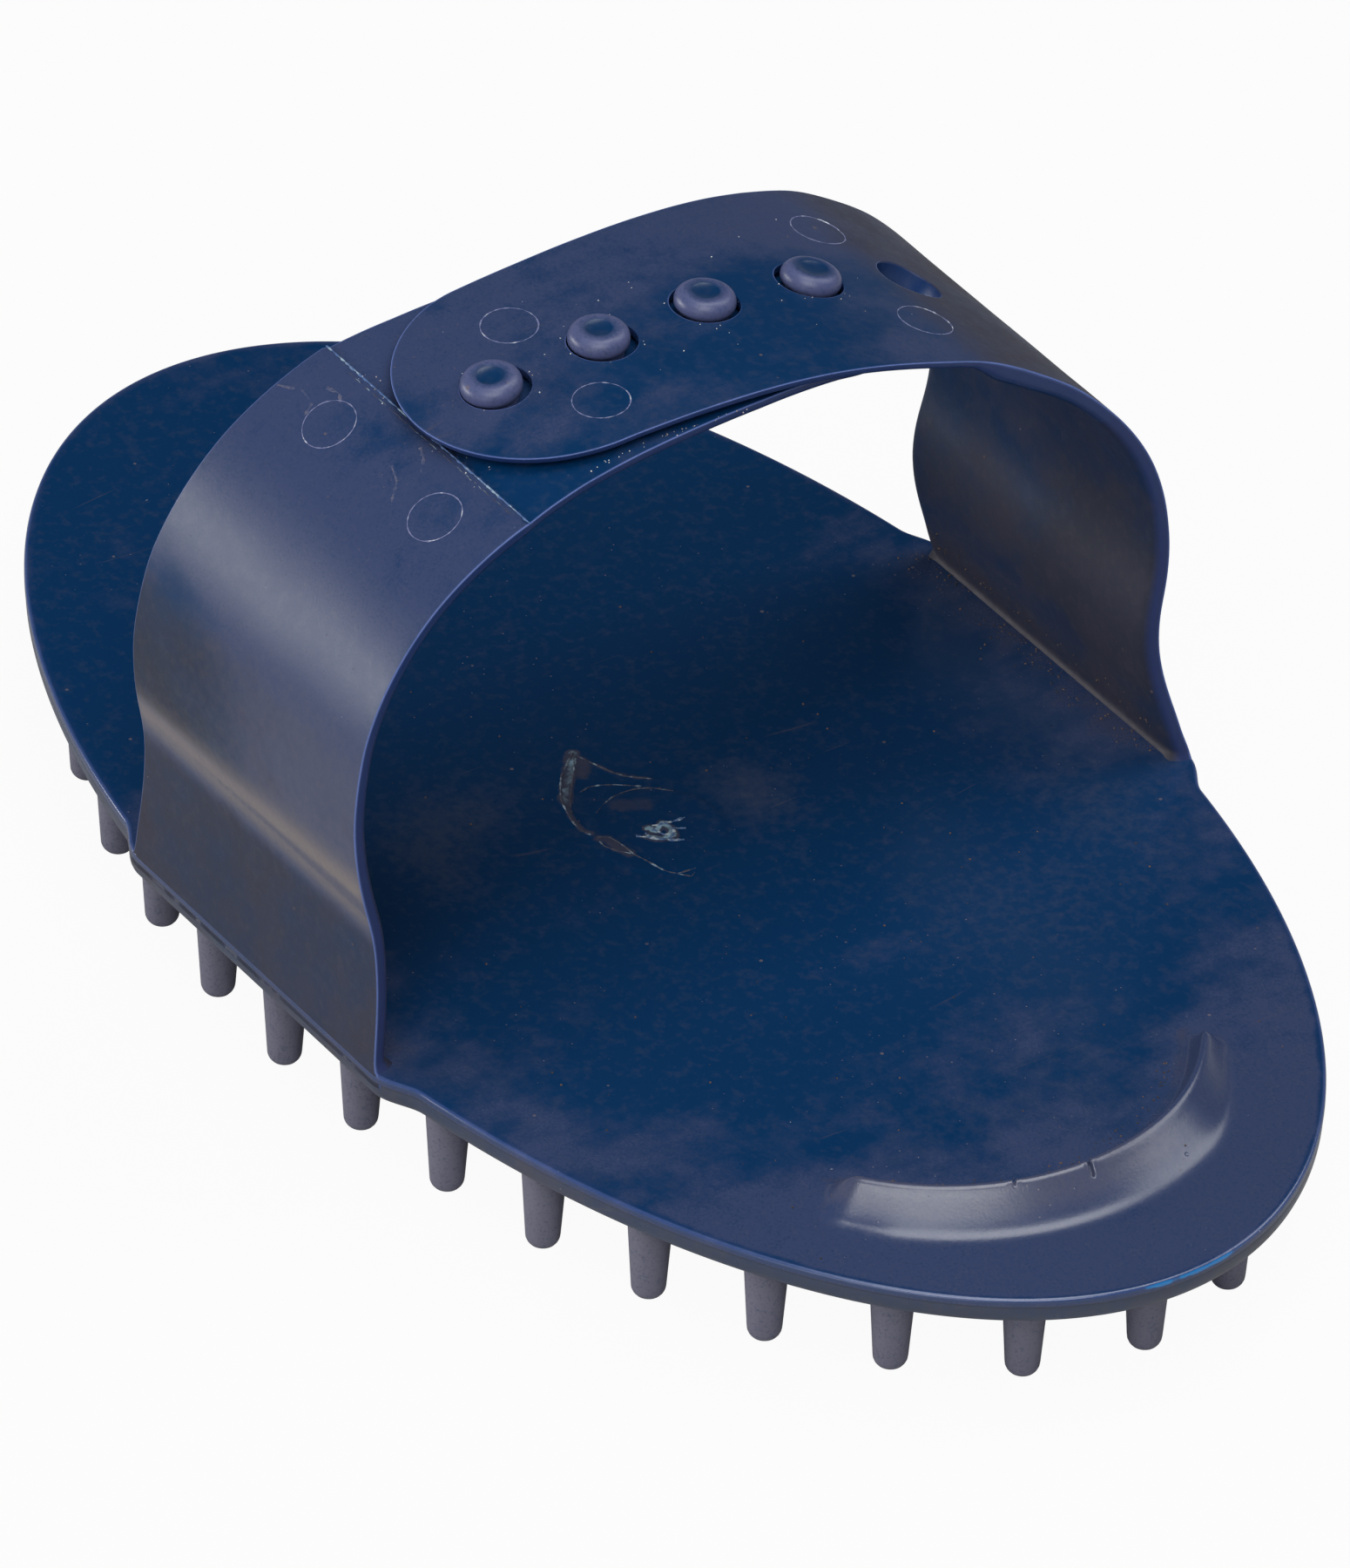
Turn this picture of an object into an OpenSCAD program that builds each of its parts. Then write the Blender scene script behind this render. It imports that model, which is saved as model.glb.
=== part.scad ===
// Soft curry brush for grooming: an oval pad with pins underneath and a buttoned hand strap on top.
// X runs along the oval towards the finger ridge, Y across it towards the strap with holes, Z up.
// The pin tips stand on z = 0.

/* [Pad] */
// Length of the oval pad
pad_l = 180; // [150:1:210]
// Width of the oval pad, which is also where the strap feet stand
pad_w = 98; // [84:1:116]
// Thickness of the pad
pad_t = 3.2; // [2.6:0.1:4]
// Radius of the rounded lower edge of the pad
pad_edge_r = 1.4; // [0.8:0.1:1.8]
// Length over which the oval swells out to meet a strap foot
root_blend = 8; // [5:0.5:12]

/* [Pins] */
// Length of a pin below the pad
pin_len = 10.6; // [8:0.1:14]
// Diameter of a pin where it leaves the pad
pin_root_d = 4.6; // [4:0.1:5.4]
// Diameter of a pin just above its rounded tip
pin_tip_d = 3.5; // [3:0.1:4]
// Radius of the rounding round a pin's flat tip
pin_tip_r = 1.3; // [0.6:0.1:1.4]
// Distance from the pad's side edge to the centres of the outer pins
pin_edge_side = 3.9; // [2.8:0.1:5]
// Distance from the pad's end to the centres of the outer pins
pin_edge_end = 7; // [4:0.1:8]
// Distance between neighbouring pins along a ring
pin_pitch = 12.9; // [11:0.1:15]
// Distance between one ring of pins and the next at the pad's ends; along its sides they share out the width
ring_step = 11.8; // [11:0.1:12.4]

/* [Finger ridge] */
// Radius of the ridge's crest, seen from above
ridge_r = 26.5; // [22:0.5:30]
// Distance from the pad's end to the outer foot of the ridge
ridge_inset = 11.8; // [9:0.1:16]
// Height of the crest above the pad
ridge_h = 2.8; // [1.8:0.1:4]
// Width of the crest's sloping outer side
ridge_slope_w = 4.8; // [3.5:0.1:6]
// Width of the crest's steep inner side
ridge_wall_w = 0.9; // [0.5:0.1:1.6]
// Rounding of the crest
ridge_crest_r = 0.7; // [0.4:0.1:0.9]
// Angle that the ridge covers between its round ends
ridge_sweep = 102; // [80:2:120]

/* [Straps] */
// Thickness of the straps
strap_t = 1.7; // [1.5:0.1:2.2]
// Width of a strap where it leaves the pad
strap_root_w = 43; // [38:0.5:48]
// Width of a strap at its shoulder
strap_shoulder_w = 36.6; // [34:0.2:38]
// Height of the loop: from the pad to the outer face of the stud platform
loop_h = 58.4; // [50:0.1:66]
// Radius of the flat crown of the loop
crown_r = 90; // [80:1:100]
// Distance from the pad's centre line to the top of the crown, towards the studs
crown_shift = 7.6; // [5:0.2:10]
// Gap between the tip of the tongue and the stud strap's arm below it
lap_clear = 0.2; // [0.15:0.05:0.5]

/* [Stud strap] */
// Inward lean of the foot
stud_foot_lean = 4; // [0:0.5:8]
// Height of the crease above the pad
stud_crease_h = 12.5; // [9:0.5:16]
// Outward lean of the arm above the crease
stud_arm_lean = 11; // [6:0.5:15]
// Radius of the shoulder
stud_shoulder_r = 28.5; // [25:0.5:31]
// Depth of the step where the arm thins to the platform
step_h = 0.25; // [0.2:0.05:0.6]
// Distance along the crown from the end of the shoulder to the step
step_past = 0.6; // [0.4:0.1:3]
// Distance from the last stud to the end of the platform
platform_past = 9; // [7:0.5:10]
// Width of the platform where its round end starts
platform_end_w = 28.4; // [25:0.2:30]

/* [Studs] */
// Distance between studs along the platform
stud_pitch = 12.6; // [11:0.1:13]
// Distance along the crown from the step to the first stud
stud_first = 6.9; // [6:0.1:9]
// Diameter of a stud's neck
stud_neck_d = 4.8; // [4:0.1:5.2]
// Height of a stud's neck above the platform
stud_neck_h = 1; // [0.8:0.1:1.6]
// Diameter of a stud's head
stud_head_d = 6.2; // [5.6:0.1:6.4]
// Height of a stud's head
stud_head_h = 2.4; // [2.2:0.1:3.2]
// Rounding of a stud's head
stud_head_r = 1.1; // [0.7:0.1:1.2]
// Diameter of the dimple in a stud's head
stud_dimple_d = 2.8; // [1.6:0.1:3.4]
// Diameter of the dimple's floor
stud_dimple_floor_d = 1.2; // [0.6:0.1:1.5]
// Depth of the dimple
stud_dimple_h = 0.6; // [0.3:0.1:0.9]

/* [Hole strap] */
// Inward lean of the foot
hole_foot_lean = 14; // [6:0.5:16]
// Height of the crease above the pad
hole_crease_h = 14; // [11:0.5:19]
// Outward lean of the arm above the crease
hole_arm_lean = 14; // [8:0.5:18]
// Radius of the shoulder
hole_shoulder_r = 30.5; // [28:0.5:34]
// Angle on the shoulder where the tongue starts, up from level
tongue_start = 50; // [44:1:56]
// Thickness of the tongue, thinner than the strap that it grows from
tongue_t = 1.1; // [1:0.1:1.6]
// Distance from the first hole to the tip of the tongue
tongue_past = 9; // [7:0.5:11]
// Width of the tongue where its round tip starts
tongue_end_w = 29.8; // [27:0.2:33]
// Number of holes
hole_count = 5; // [4:1:5]
// Diameter of a hole
hole_d = 7.1; // [6.8:0.1:7.6]

/* [Creases] */
// How much a crease bulges beyond the strap's own thickness
crease_bulge = 0.15; // [0.1:0.05:0.3]
// Clearance around the rolling end of a strap in its crease
crease_clear = 0.2; // [0.15:0.05:0.35]
// Greatest outward swing of the strap with holes
hole_swing = 80; // [60:5:90]
// Greatest outward swing of the strap with studs
stud_swing = 56; // [40:2:60]
// Greatest peel of the tongue
tongue_peel = 70; // [50:5:80]

/* [Gate] */
// Diameter of the moulding's gate mark
gate_d = 3.4; // [2.6:0.1:5]
// Diameter of the gate mark's top
gate_top_d = 2.4; // [1.2:0.1:2.4]
// Height of the gate mark
gate_h = 0.5; // [0.3:0.1:1]
// Distance of the gate mark from the pad's centre, towards the ridge
gate_x = 4; // [-8:0.5:8]
// Distance of the gate mark from the pad's centre, towards the studs
gate_y = 3.5; // [-8:0.5:8]

/* [Hidden] */
$fn = 64;

navy = [0.05, 0.10, 0.24];
navy_pale = [0.12, 0.16, 0.32];
navy_deep = [0.02, 0.07, 0.18];

pad_top = pin_len + pad_t;
pad_a = pad_l / 2;
pad_b = pad_w / 2;
outline_steps = 144;
arc_step = 3;
small_arc_step = 18;
edge_step = 30;
stud_count = 4;
ring_count = 4;
past = 1;
gate_at = [gate_x, -gate_y];

// Crown of the loop in strap coordinates: outward from the pad's centre line, and up from the pad
crown_z = loop_h - crown_r;
stud_arm_r = crown_r + step_h;
lap_gap = step_h + lap_clear;
tongue_r = crown_r + lap_gap + tongue_t;
knuckle_r = strap_t / 2 + crease_bulge;
seat_r = knuckle_r + crease_clear;
swung_reach = 10;

function unit(a) = [cos(a), sin(a)];
function arc(c, r, a0, a1, step = arc_step) =
    let (n = max(2, ceil(abs(a1 - a0) / step)))
    [for (i = [0 : n]) c + r * unit(a0 + (a1 - a0) * i / n)];
function crown_angle(along, r) = along / r * 180 / PI;

// Where the outer face of a strap runs: its foot, its crease, its arm's line and its shoulder arc.
// The shoulder touches the arm's line and the crown, so its centre lies on a line beside the arm.
function crease_point(lean, h) = [pad_b - h * tan(lean), h];
function shoulder_centre(p, arm_lean, r, c, cr) =
    let (
        along = unit(90 - arm_lean),
        beside = p + r * unit(180 - arm_lean) - c,
        b = beside * along,
        q = beside * beside - pow(cr - r, 2)
    )
    c + beside + (sqrt(b * b - q) - b) * along;
function meets_crown(s, c) = atan2(s[1] - c[1], s[0] - c[0]);

stud_crease = crease_point(stud_foot_lean, stud_crease_h);
stud_crown = [crown_shift, crown_z];
stud_shoulder = shoulder_centre(stud_crease, stud_arm_lean, stud_shoulder_r, stud_crown, stud_arm_r);
stud_meet = meets_crown(stud_shoulder, stud_crown);
stud_step = stud_meet + crown_angle(step_past, crown_r);
stud_axis = stud_crease - strap_t / 2 * unit(-stud_arm_lean);
function stud_angle(k) = stud_step - 90 + crown_angle(stud_first + (k - 1) * stud_pitch, crown_r);
platform_end = 90 + stud_angle(stud_count) + crown_angle(platform_past, crown_r);

hole_crease = crease_point(hole_foot_lean, hole_crease_h);
hole_crown = [-crown_shift, crown_z];
hole_shoulder = shoulder_centre(hole_crease, hole_arm_lean, hole_shoulder_r, hole_crown, tongue_r);
hole_meet = meets_crown(hole_shoulder, hole_crown);
hole_axis = hole_crease - strap_t / 2 * unit(-hole_arm_lean);
tongue_axis = hole_shoulder + (hole_shoulder_r - strap_t / 2) * unit(tongue_start);
tongue_end = 90 - stud_angle(1) + crown_angle(tongue_past, tongue_r);

// Half width of a strap's arm at a height above the pad
shoulder_h = hole_shoulder[1] + hole_shoulder_r * sin(tongue_start);
function arm_half(h) = (strap_root_w + (strap_shoulder_w - strap_root_w) * h / shoulder_h) / 2;

// Outline of the pad: an oval that swells out to the strap feet along its sides
function swell(x) =
    let (t = min(1, max(0, (strap_root_w / 2 + root_blend - abs(x)) / root_blend)))
    t * t * (3 - 2 * t);
function pad_side(x) =
    let (oval = pad_b * sqrt(max(0, 1 - pow(x / pad_a, 2))))
    oval + (pad_b - oval) * swell(x);
function pad_ring(inset, z) = [
    for (i = [0 : outline_steps - 1])
        let (
            a = 360 * i / outline_steps,
            x = pad_a * cos(a),
            y = sign(sin(a)) * pad_side(x)
        )
        [x * (1 - inset / pad_a), y * (1 - inset / pad_b), z]
];

// Places along an oval, evenly spaced by the length of the curve
oval_steps = 180;
function oval_point(a, b, t) = [a * cos(t), b * sin(t)];
function oval_lengths(a, b) = [
    for (i = 0, s = 0; i <= oval_steps;
         s = s + norm(oval_point(a, b, 360 * (i + 1) / oval_steps) - oval_point(a, b, 360 * i / oval_steps)),
         i = i + 1)
        [s, 360 * i / oval_steps]
];
function oval_places(a, b) =
    let (
        table = oval_lengths(a, b),
        total = table[oval_steps][0],
        n = round(total / pin_pitch)
    )
    [for (i = [0 : n - 1]) oval_point(a, b, lookup(total * i / n, table))];
function ring_places(k) =
    oval_places(pad_a - pin_edge_end - k * ring_step, (pad_b - pin_edge_side) * (1 - k / ring_count));

// The centre row reaches to where one more ring would end, or a little past it
row_spare = 0.25;
row_half = floor((pad_a - pin_edge_end - ring_count * ring_step) / pin_pitch + row_spare);
row_places = [for (i = [-row_half : row_half]) [i * pin_pitch, 0]];

// A closed solid through a stack of rings with the same number of points
module stacked_rings(rings) {
    n = len(rings[0]);
    last = len(rings) - 1;
    points = [for (ring = rings) each ring];
    floor_face = [for (i = [0 : n - 1]) i];
    roof_face = [for (i = [n - 1 : -1 : 0]) last * n + i];
    sides = [
        for (k = [0 : last - 1], i = [0 : n - 1])
            let (j = (i + 1) % n)
            each [[k * n + i, (k + 1) * n + j, k * n + j], [k * n + i, (k + 1) * n + i, (k + 1) * n + j]]
    ];
    polyhedron(points, concat([floor_face, roof_face], sides));
}

// Turns strap coordinates, outward and up, into the part's frame; side is 1 for holes and -1 for studs
module on_side(side) {
    translate([0, 0, pad_top])
        mirror([0, side < 0 ? 1 : 0, 0])
            children();
}

// A strap's side view drawn out to its full width
module strap_slab(outline) {
    rotate([90, 0, 90])
        linear_extrude(height = strap_root_w + 2 * past, center = true)
            polygon(outline);
}

// A bar across the strap along a crease
module across(p, r) {
    translate([0, p[0], p[1]])
        rotate([0, 90, 0])
            cylinder(r = r, h = strap_root_w + 2 * past, center = true);
}

// Room for a strap that has swung out as far as it goes, about its crease
module swung_room(p, heading) {
    room = strap_t + 2 * crease_clear;
    translate([0, p[0], p[1]])
        rotate([heading, 0, 0])
            translate([0, swung_reach / 2, 0])
                cube([strap_root_w + 3 * past, swung_reach, room], center = true);
}

// Front view of an arm, narrowing towards the shoulder
module arm_front() {
    reach = loop_h + pad_top;
    rotate([90, 0, 0])
        linear_extrude(height = 2 * pad_w, center = true)
            polygon([
                [-arm_half(0), 0],
                [arm_half(0), 0],
                [arm_half(reach), reach],
                [-arm_half(reach), reach]
            ]);
}

// Plan of a strap's free end: straight sides drawing in to a round tip
module end_plan(wide_y, wide_w, tip_y, tip_w) {
    linear_extrude(height = 2 * loop_h)
        polygon(concat(
            [[-wide_w / 2, wide_y], [wide_w / 2, wide_y]],
            arc([0, tip_y + tip_w / 2], tip_w / 2, 0, -180, 2 * arc_step)
        ));
}

module pin() {
    tip = pin_tip_d / 2;
    rotate_extrude()
        polygon(concat(
            [[0, pin_len], [0, 0]],
            arc([tip - pin_tip_r, pin_tip_r], pin_tip_r, -90, 0, small_arc_step),
            [[pin_root_d / 2, pin_len]]
        ));
}

module pins(places) {
    color(navy_pale)
        for (p = places)
            translate(p)
                pin();
}

module pad_plate() {
    edge = [for (a = [0 : edge_step : 90]) [pad_edge_r * (1 - sin(a)), pin_len + pad_edge_r * (1 - cos(a))]];
    color(navy)
        stacked_rings(concat(
            [for (e = edge) pad_ring(e[0], e[1])],
            [pad_ring(0, pad_top)]
        ));
}

// Plan that rounds off the ridge: a curved band with a round end on either side
module ridge_plan(near, far) {
    half = ridge_sweep / 2;
    middle = (near + far) / 2;
    cap = (far - near) / 2;
    linear_extrude(height = ridge_h + past)
        polygon(concat(
            arc([0, 0], far, -half, half),
            arc(middle * unit(half), cap, half, half + 180, small_arc_step),
            arc([0, 0], near, half, -half),
            arc(middle * unit(-half), cap, 180 - half, 360 - half, small_arc_step)
        ));
}

module finger_ridge() {
    near = ridge_r - ridge_wall_w - ridge_crest_r;
    far = ridge_r + ridge_slope_w;
    crest = [ridge_r, ridge_h - ridge_crest_r];
    slope_lean = atan2(ridge_h, ridge_slope_w);
    wall_lean = atan2(ridge_h, ridge_wall_w);
    color(navy_pale)
        translate([pad_a - ridge_inset - far, 0, pad_top])
            intersection() {
                rotate([0, 0, -90])
                    rotate_extrude(angle = 180)
                        polygon(concat(
                            [[near, 0], [far, 0]],
                            arc(crest, ridge_crest_r, 90 - slope_lean, 90 + wall_lean, small_arc_step)
                        ));
                translate([0, 0, -past / 2])
                    ridge_plan(near - past, far + past);
            }
}

module gate_mark() {
    color(navy_deep)
        translate([gate_at[0], gate_at[1], pad_top])
            cylinder(d1 = gate_d, d2 = gate_top_d, h = gate_h);
}

// The foot of a strap, from the pad up to the crease, with a hollow that the arm's end rolls in
module strap_foot(crease, lean, axis, swung) {
    inner = strap_t / cos(lean);
    intersection() {
        difference() {
            strap_slab([
                [pad_b, 0],
                crease,
                crease - [inner, 0],
                [pad_b - inner, 0]
            ]);
            across(axis, seat_r);
            swung_room(axis, swung);
        }
        arm_front();
    }
}

module stud_strap_foot() {
    color(navy)
        on_side(-1)
            strap_foot(stud_crease, stud_foot_lean, stud_axis, 90 - stud_arm_lean - stud_swing);
}

module hole_strap_foot() {
    color(navy)
        on_side(1)
            strap_foot(hole_crease, hole_foot_lean, hole_axis, 90 - hole_arm_lean - hole_swing);
}

module stud_strap_arm() {
    outer = concat(
        arc(stud_shoulder, stud_shoulder_r, -stud_arm_lean, stud_meet),
        arc(stud_crown, stud_arm_r, stud_meet, stud_step)
    );
    inner = concat(
        arc(stud_crown, stud_arm_r - strap_t, stud_step, stud_meet),
        arc(stud_shoulder, stud_shoulder_r - strap_t, stud_meet, -stud_arm_lean)
    );
    color(navy)
        on_side(-1)
            intersection() {
                union() {
                    strap_slab(concat(
                        [stud_axis + strap_t / 2 * unit(-stud_arm_lean)],
                        outer,
                        inner,
                        [stud_axis - strap_t / 2 * unit(-stud_arm_lean)]
                    ));
                    across(stud_axis, knuckle_r);
                }
                arm_front();
            }
}

module stud_platform() {
    step_y = stud_crown[0] + crown_r * cos(stud_step);
    step_w = 2 * arm_half(stud_crown[1] + crown_r * sin(stud_step));
    tip_y = stud_crown[0] + crown_r * cos(platform_end);
    color(navy)
        on_side(-1)
            intersection() {
                strap_slab(concat(
                    arc(stud_crown, crown_r, stud_step, platform_end),
                    arc(stud_crown, stud_arm_r - strap_t, platform_end, stud_step)
                ));
                end_plan(step_y + past, step_w, tip_y, platform_end_w);
            }
}

// A mushroom button that stands on the platform and comes up through the tongue
module stud(k) {
    top = stud_neck_h + stud_head_h;
    r = stud_head_d / 2;
    under = acos(max(0, stud_neck_d / 2 - r + stud_head_r) / stud_head_r);
    dimple = [[stud_dimple_d / 2, top], [stud_dimple_floor_d / 2, top - stud_dimple_h], [0, top - stud_dimple_h]];
    color(navy_pale)
        on_side(-1)
            translate([0, stud_crown[0], stud_crown[1]])
                rotate([stud_angle(k), 0, 0])
                    translate([0, 0, crown_r])
                        rotate_extrude()
                            polygon(concat(
                                [[0, 0], [stud_neck_d / 2, 0]],
                                arc([r - stud_head_r, stud_neck_h + stud_head_r], stud_head_r, -under, 0, small_arc_step),
                                arc([r - stud_head_r, top - stud_head_r], stud_head_r, 0, 90, small_arc_step),
                                dimple
                            ));
}

module hole_strap_arm() {
    color(navy)
        on_side(1)
            intersection() {
                difference() {
                    union() {
                        strap_slab(concat(
                            [hole_axis + strap_t / 2 * unit(-hole_arm_lean)],
                            arc(hole_shoulder, hole_shoulder_r, -hole_arm_lean, tongue_start),
                            arc(hole_shoulder, hole_shoulder_r - strap_t, tongue_start, -hole_arm_lean),
                            [hole_axis - strap_t / 2 * unit(-hole_arm_lean)]
                        ));
                        across(hole_axis, knuckle_r);
                    }
                    across(tongue_axis, seat_r);
                    swung_room(tongue_axis, 90 + tongue_start - tongue_peel);
                }
                arm_front();
            }
}

module tongue() {
    start_y = hole_shoulder[0] + hole_shoulder_r * cos(tongue_start);
    tip_y = hole_crown[0] + tongue_r * cos(tongue_end);
    color(navy)
        on_side(1)
            difference() {
                intersection() {
                    union() {
                        strap_slab(concat(
                            arc(hole_shoulder, hole_shoulder_r, tongue_start, hole_meet),
                            arc(hole_crown, tongue_r, hole_meet, tongue_end),
                            arc(hole_crown, tongue_r - tongue_t, tongue_end, hole_meet),
                            arc(hole_shoulder, hole_shoulder_r - tongue_t, hole_meet, tongue_start)
                        ));
                        across(tongue_axis, knuckle_r);
                    }
                    end_plan(start_y + past, strap_shoulder_w, tip_y, tongue_end_w);
                }
                for (k = [1 : hole_count])
                    translate([0, hole_crown[0], hole_crown[1]])
                        rotate([-stud_angle(k), 0, 0])
                            translate([0, 0, crown_r - past])
                                cylinder(d = hole_d, h = tongue_r - crown_r + 2 * past);
            }
}

pad_plate();
finger_ridge();
gate_mark();
pins(ring_places(0));  // pins_outer_ring
pins(ring_places(1));  // pins_second_ring
pins(ring_places(2));  // pins_third_ring
pins(ring_places(3));  // pins_fourth_ring
pins(row_places);  // pins_centre_row
stud_strap_foot();
stud_strap_arm();
stud_platform();
stud(1);  // stud_1
stud(2);  // stud_2
stud(3);  // stud_3
stud(4);  // stud_4
hole_strap_foot();
hole_strap_arm();
tongue();
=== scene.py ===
import math

import bmesh
import bpy
import numpy as np
from mathutils import Matrix, Vector, noise
from mathutils.geometry import delaunay_2d_cdt


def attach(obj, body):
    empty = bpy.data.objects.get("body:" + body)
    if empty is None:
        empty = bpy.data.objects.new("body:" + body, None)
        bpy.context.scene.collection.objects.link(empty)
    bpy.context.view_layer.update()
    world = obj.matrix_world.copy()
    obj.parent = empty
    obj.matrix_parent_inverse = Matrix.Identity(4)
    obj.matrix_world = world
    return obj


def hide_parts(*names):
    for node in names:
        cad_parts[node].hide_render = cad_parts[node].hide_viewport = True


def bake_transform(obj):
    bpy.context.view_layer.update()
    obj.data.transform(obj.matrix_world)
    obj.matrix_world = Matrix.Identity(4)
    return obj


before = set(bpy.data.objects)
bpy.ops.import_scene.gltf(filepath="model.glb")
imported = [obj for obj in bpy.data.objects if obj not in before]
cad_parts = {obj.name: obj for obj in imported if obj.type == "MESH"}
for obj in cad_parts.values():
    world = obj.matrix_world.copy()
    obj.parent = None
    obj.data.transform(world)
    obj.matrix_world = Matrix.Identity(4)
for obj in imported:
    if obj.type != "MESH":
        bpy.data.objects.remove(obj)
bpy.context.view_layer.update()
scene = bpy.context.scene
mm = 0.001
padTop = 13.8  # height of the pad's upper face above the pin tips, in mm
perLoop = 20  # ring numbers set aside for each loop of a plate
print("frame loaded,", len(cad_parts), "nodes")


# small tools for shapes, all in millimetres

def ease(t):
    t = np.clip(t, 0, 1)
    return t * t * (3 - 2 * t)


def near(value, centre, half):
    return ease(1 - np.abs(value - centre) / half)


def bell(value, wide):
    return np.exp(-(value / wide) ** 2)


def level(points, value):
    # adds a column that has one value throughout
    return np.c_[points, np.full(len(points), value)]


def leftWays(ahead):
    # unit directions to the left of the given ones
    ahead = ahead / np.hypot(*ahead.T)[:, None]
    return np.stack([-ahead[:, 1], ahead[:, 0]], 1)


def clouds(points, size, seed=0.0, octaves=3):
    shift = Vector((seed, 1.7 * seed, -seed))
    points = np.atleast_2d(points)
    if points.shape[1] == 2:
        points = level(points, 0.0)
    return np.array([noise.fractal(Vector(p) / size + shift, 0.7, 2.0, octaves) for p in points])


def evenly(points, step):
    points = np.asarray(points, float)
    gaps = np.hypot(*np.diff(points, axis=0).T)
    points = points[np.r_[True, gaps > 1e-6]]
    along = np.r_[0, np.cumsum(np.hypot(*np.diff(points, axis=0).T))]
    at = np.linspace(0, along[-1], int(along[-1] / step) + 1)
    return np.stack([np.interp(at, along, points[:, k]) for k in (0, 1)], 1), at


def soften(line, sigma, step):
    reach = int(4 * sigma / step)
    kernel = np.exp(-0.5 * (np.arange(-reach, reach + 1) * step / sigma) ** 2)
    kernel /= kernel.sum()
    head = 2 * line[0] - line[reach:0:-1]
    tail = 2 * line[-1] - line[-2:-reach - 2:-1]
    runOn = np.concatenate([head, line, tail])
    return np.stack([np.convolve(runOn[:, k], kernel, "valid") for k in (0, 1)], 1)


def polar(centre, radius, angles):
    return np.stack([centre[0] + radius * np.cos(angles), centre[1] + radius * np.sin(angles)], 1)


def arcPoints(centre, radius, start, end, step=0.2):
    count = max(3, int(abs(end - start) * math.pi / 180 * radius / step))
    return polar(centre, radius, np.radians(np.linspace(start, end, count)))


def corner(centre, radius, degrees):
    # a round corner of a turned profile
    return polar(centre, radius, np.radians(degrees)).tolist()


def inLoop(points, loop):
    inside = np.zeros(len(points), bool)
    x, y = points[:, 0], points[:, 1]
    for (x0, y0), (x1, y1) in zip(loop, np.roll(loop, -1, 0)):
        if y0 != y1:
            inside ^= ((y0 > y) != (y1 > y)) & (x < (x1 - x0) * (y - y0) / (y1 - y0) + x0)
    return inside


def farFrom(points, border, gap):
    keep = np.ones(len(points), bool)
    for start in range(0, len(points), 2000):
        block = points[start:start + 2000]
        apart = ((block[:, None] - border[None]) ** 2).sum(2).min(1)
        keep[start:start + 2000] = apart > gap * gap
    return points[keep]


def hexGrid(low, high, step):
    rows = np.arange(low[1], high[1], step * 0.866)
    starts = [low[0] + (k % 2) * step / 2 for k in range(len(rows))]
    return np.concatenate([level(np.arange(start, high[0], step), y) for start, y in zip(starts, rows)])


def inRegion(points, loops):
    # inside the first loop and outside the others
    inside = inLoop(points, loops[0])
    for hole in loops[1:]:
        inside &= ~inLoop(points, hole)
    return inside


def fillFlat(loops, inner, gap):
    # triangles over a flat region: the first loop is its outside, the others are holes
    border = np.concatenate(loops)
    points = np.concatenate([border, farFrom(inner[inRegion(inner, loops)], border, gap)])
    edges, spans = [], []
    for loop in loops:
        spans.append([len(edges) + i for i in range(len(loop))])
        edges += zip(spans[-1], spans[-1][1:] + spans[-1][:1])
    flat, _, faces, sources, _, _ = delaunay_2d_cdt([Vector(p) for p in points], edges, [], 0, 1e-7, True)
    flat = np.array([tuple(p) for p in flat])
    newIndex = {old: new for new, olds in enumerate(sources) for old in olds}
    faces = np.array([f for f in faces if len(f) == 3])
    faces = faces[inRegion(flat[faces].mean(1), loops)]
    a, b, c = flat[faces[:, 0]], flat[faces[:, 1]], flat[faces[:, 2]]
    turned = (b[:, 0] - a[:, 0]) * (c[:, 1] - a[:, 1]) < (b[:, 1] - a[:, 1]) * (c[:, 0] - a[:, 0])
    faces[turned] = faces[turned][:, ::-1]
    return flat, faces.tolist(), [[newIndex[i] for i in span] for span in spans]


def plate(loops, inwards, profiles, innerTop, innerBottom, gap):
    # a closed plate: flat top, edge rings that follow each loop's profile of (inset, depth), flat bottom
    # gives each point as (across, along, depth) with the number of its ring plus perLoop per loop
    # that number is -1 on the flats
    points, faces, ringOf, ends = [], [], [], []
    for under, inner, k in ((0, innerTop, 0), (1, innerBottom, -1)):
        moved = [loop + inward * prof[k][0] for loop, inward, prof in zip(loops, inwards, profiles)]
        flat, tris, borders = fillFlat(moved, inner, gap)
        base = len(ringOf)
        points.append(level(flat, profiles[0][k][1]))
        marks = np.full(len(flat), -1)
        for j, (border, prof) in enumerate(zip(borders, profiles)):
            marks[border] = perLoop * j + under * (len(prof) - 1)
        ringOf += marks.tolist()
        faces += [[base + i for i in (t[::-1] if under else t)] for t in tris]
        ends.append([[base + i for i in border] for border in borders])
    for j, (loop, inward, prof) in enumerate(zip(loops, inwards, profiles)):
        last, count = ends[0][j], len(loop)
        for k in range(1, len(prof)):
            ring = ends[1][j]
            if k < len(prof) - 1:
                ring = list(range(len(ringOf), len(ringOf) + count))
                points.append(level(loop + inward * prof[k][0], prof[k][1]))
                ringOf += [perLoop * j + k] * count
            faces += [[last[i], ring[i], ring[(i + 1) % count], last[(i + 1) % count]] for i in range(count)]
            last = ring
    return np.concatenate(points), faces, np.array(ringOf)


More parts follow.
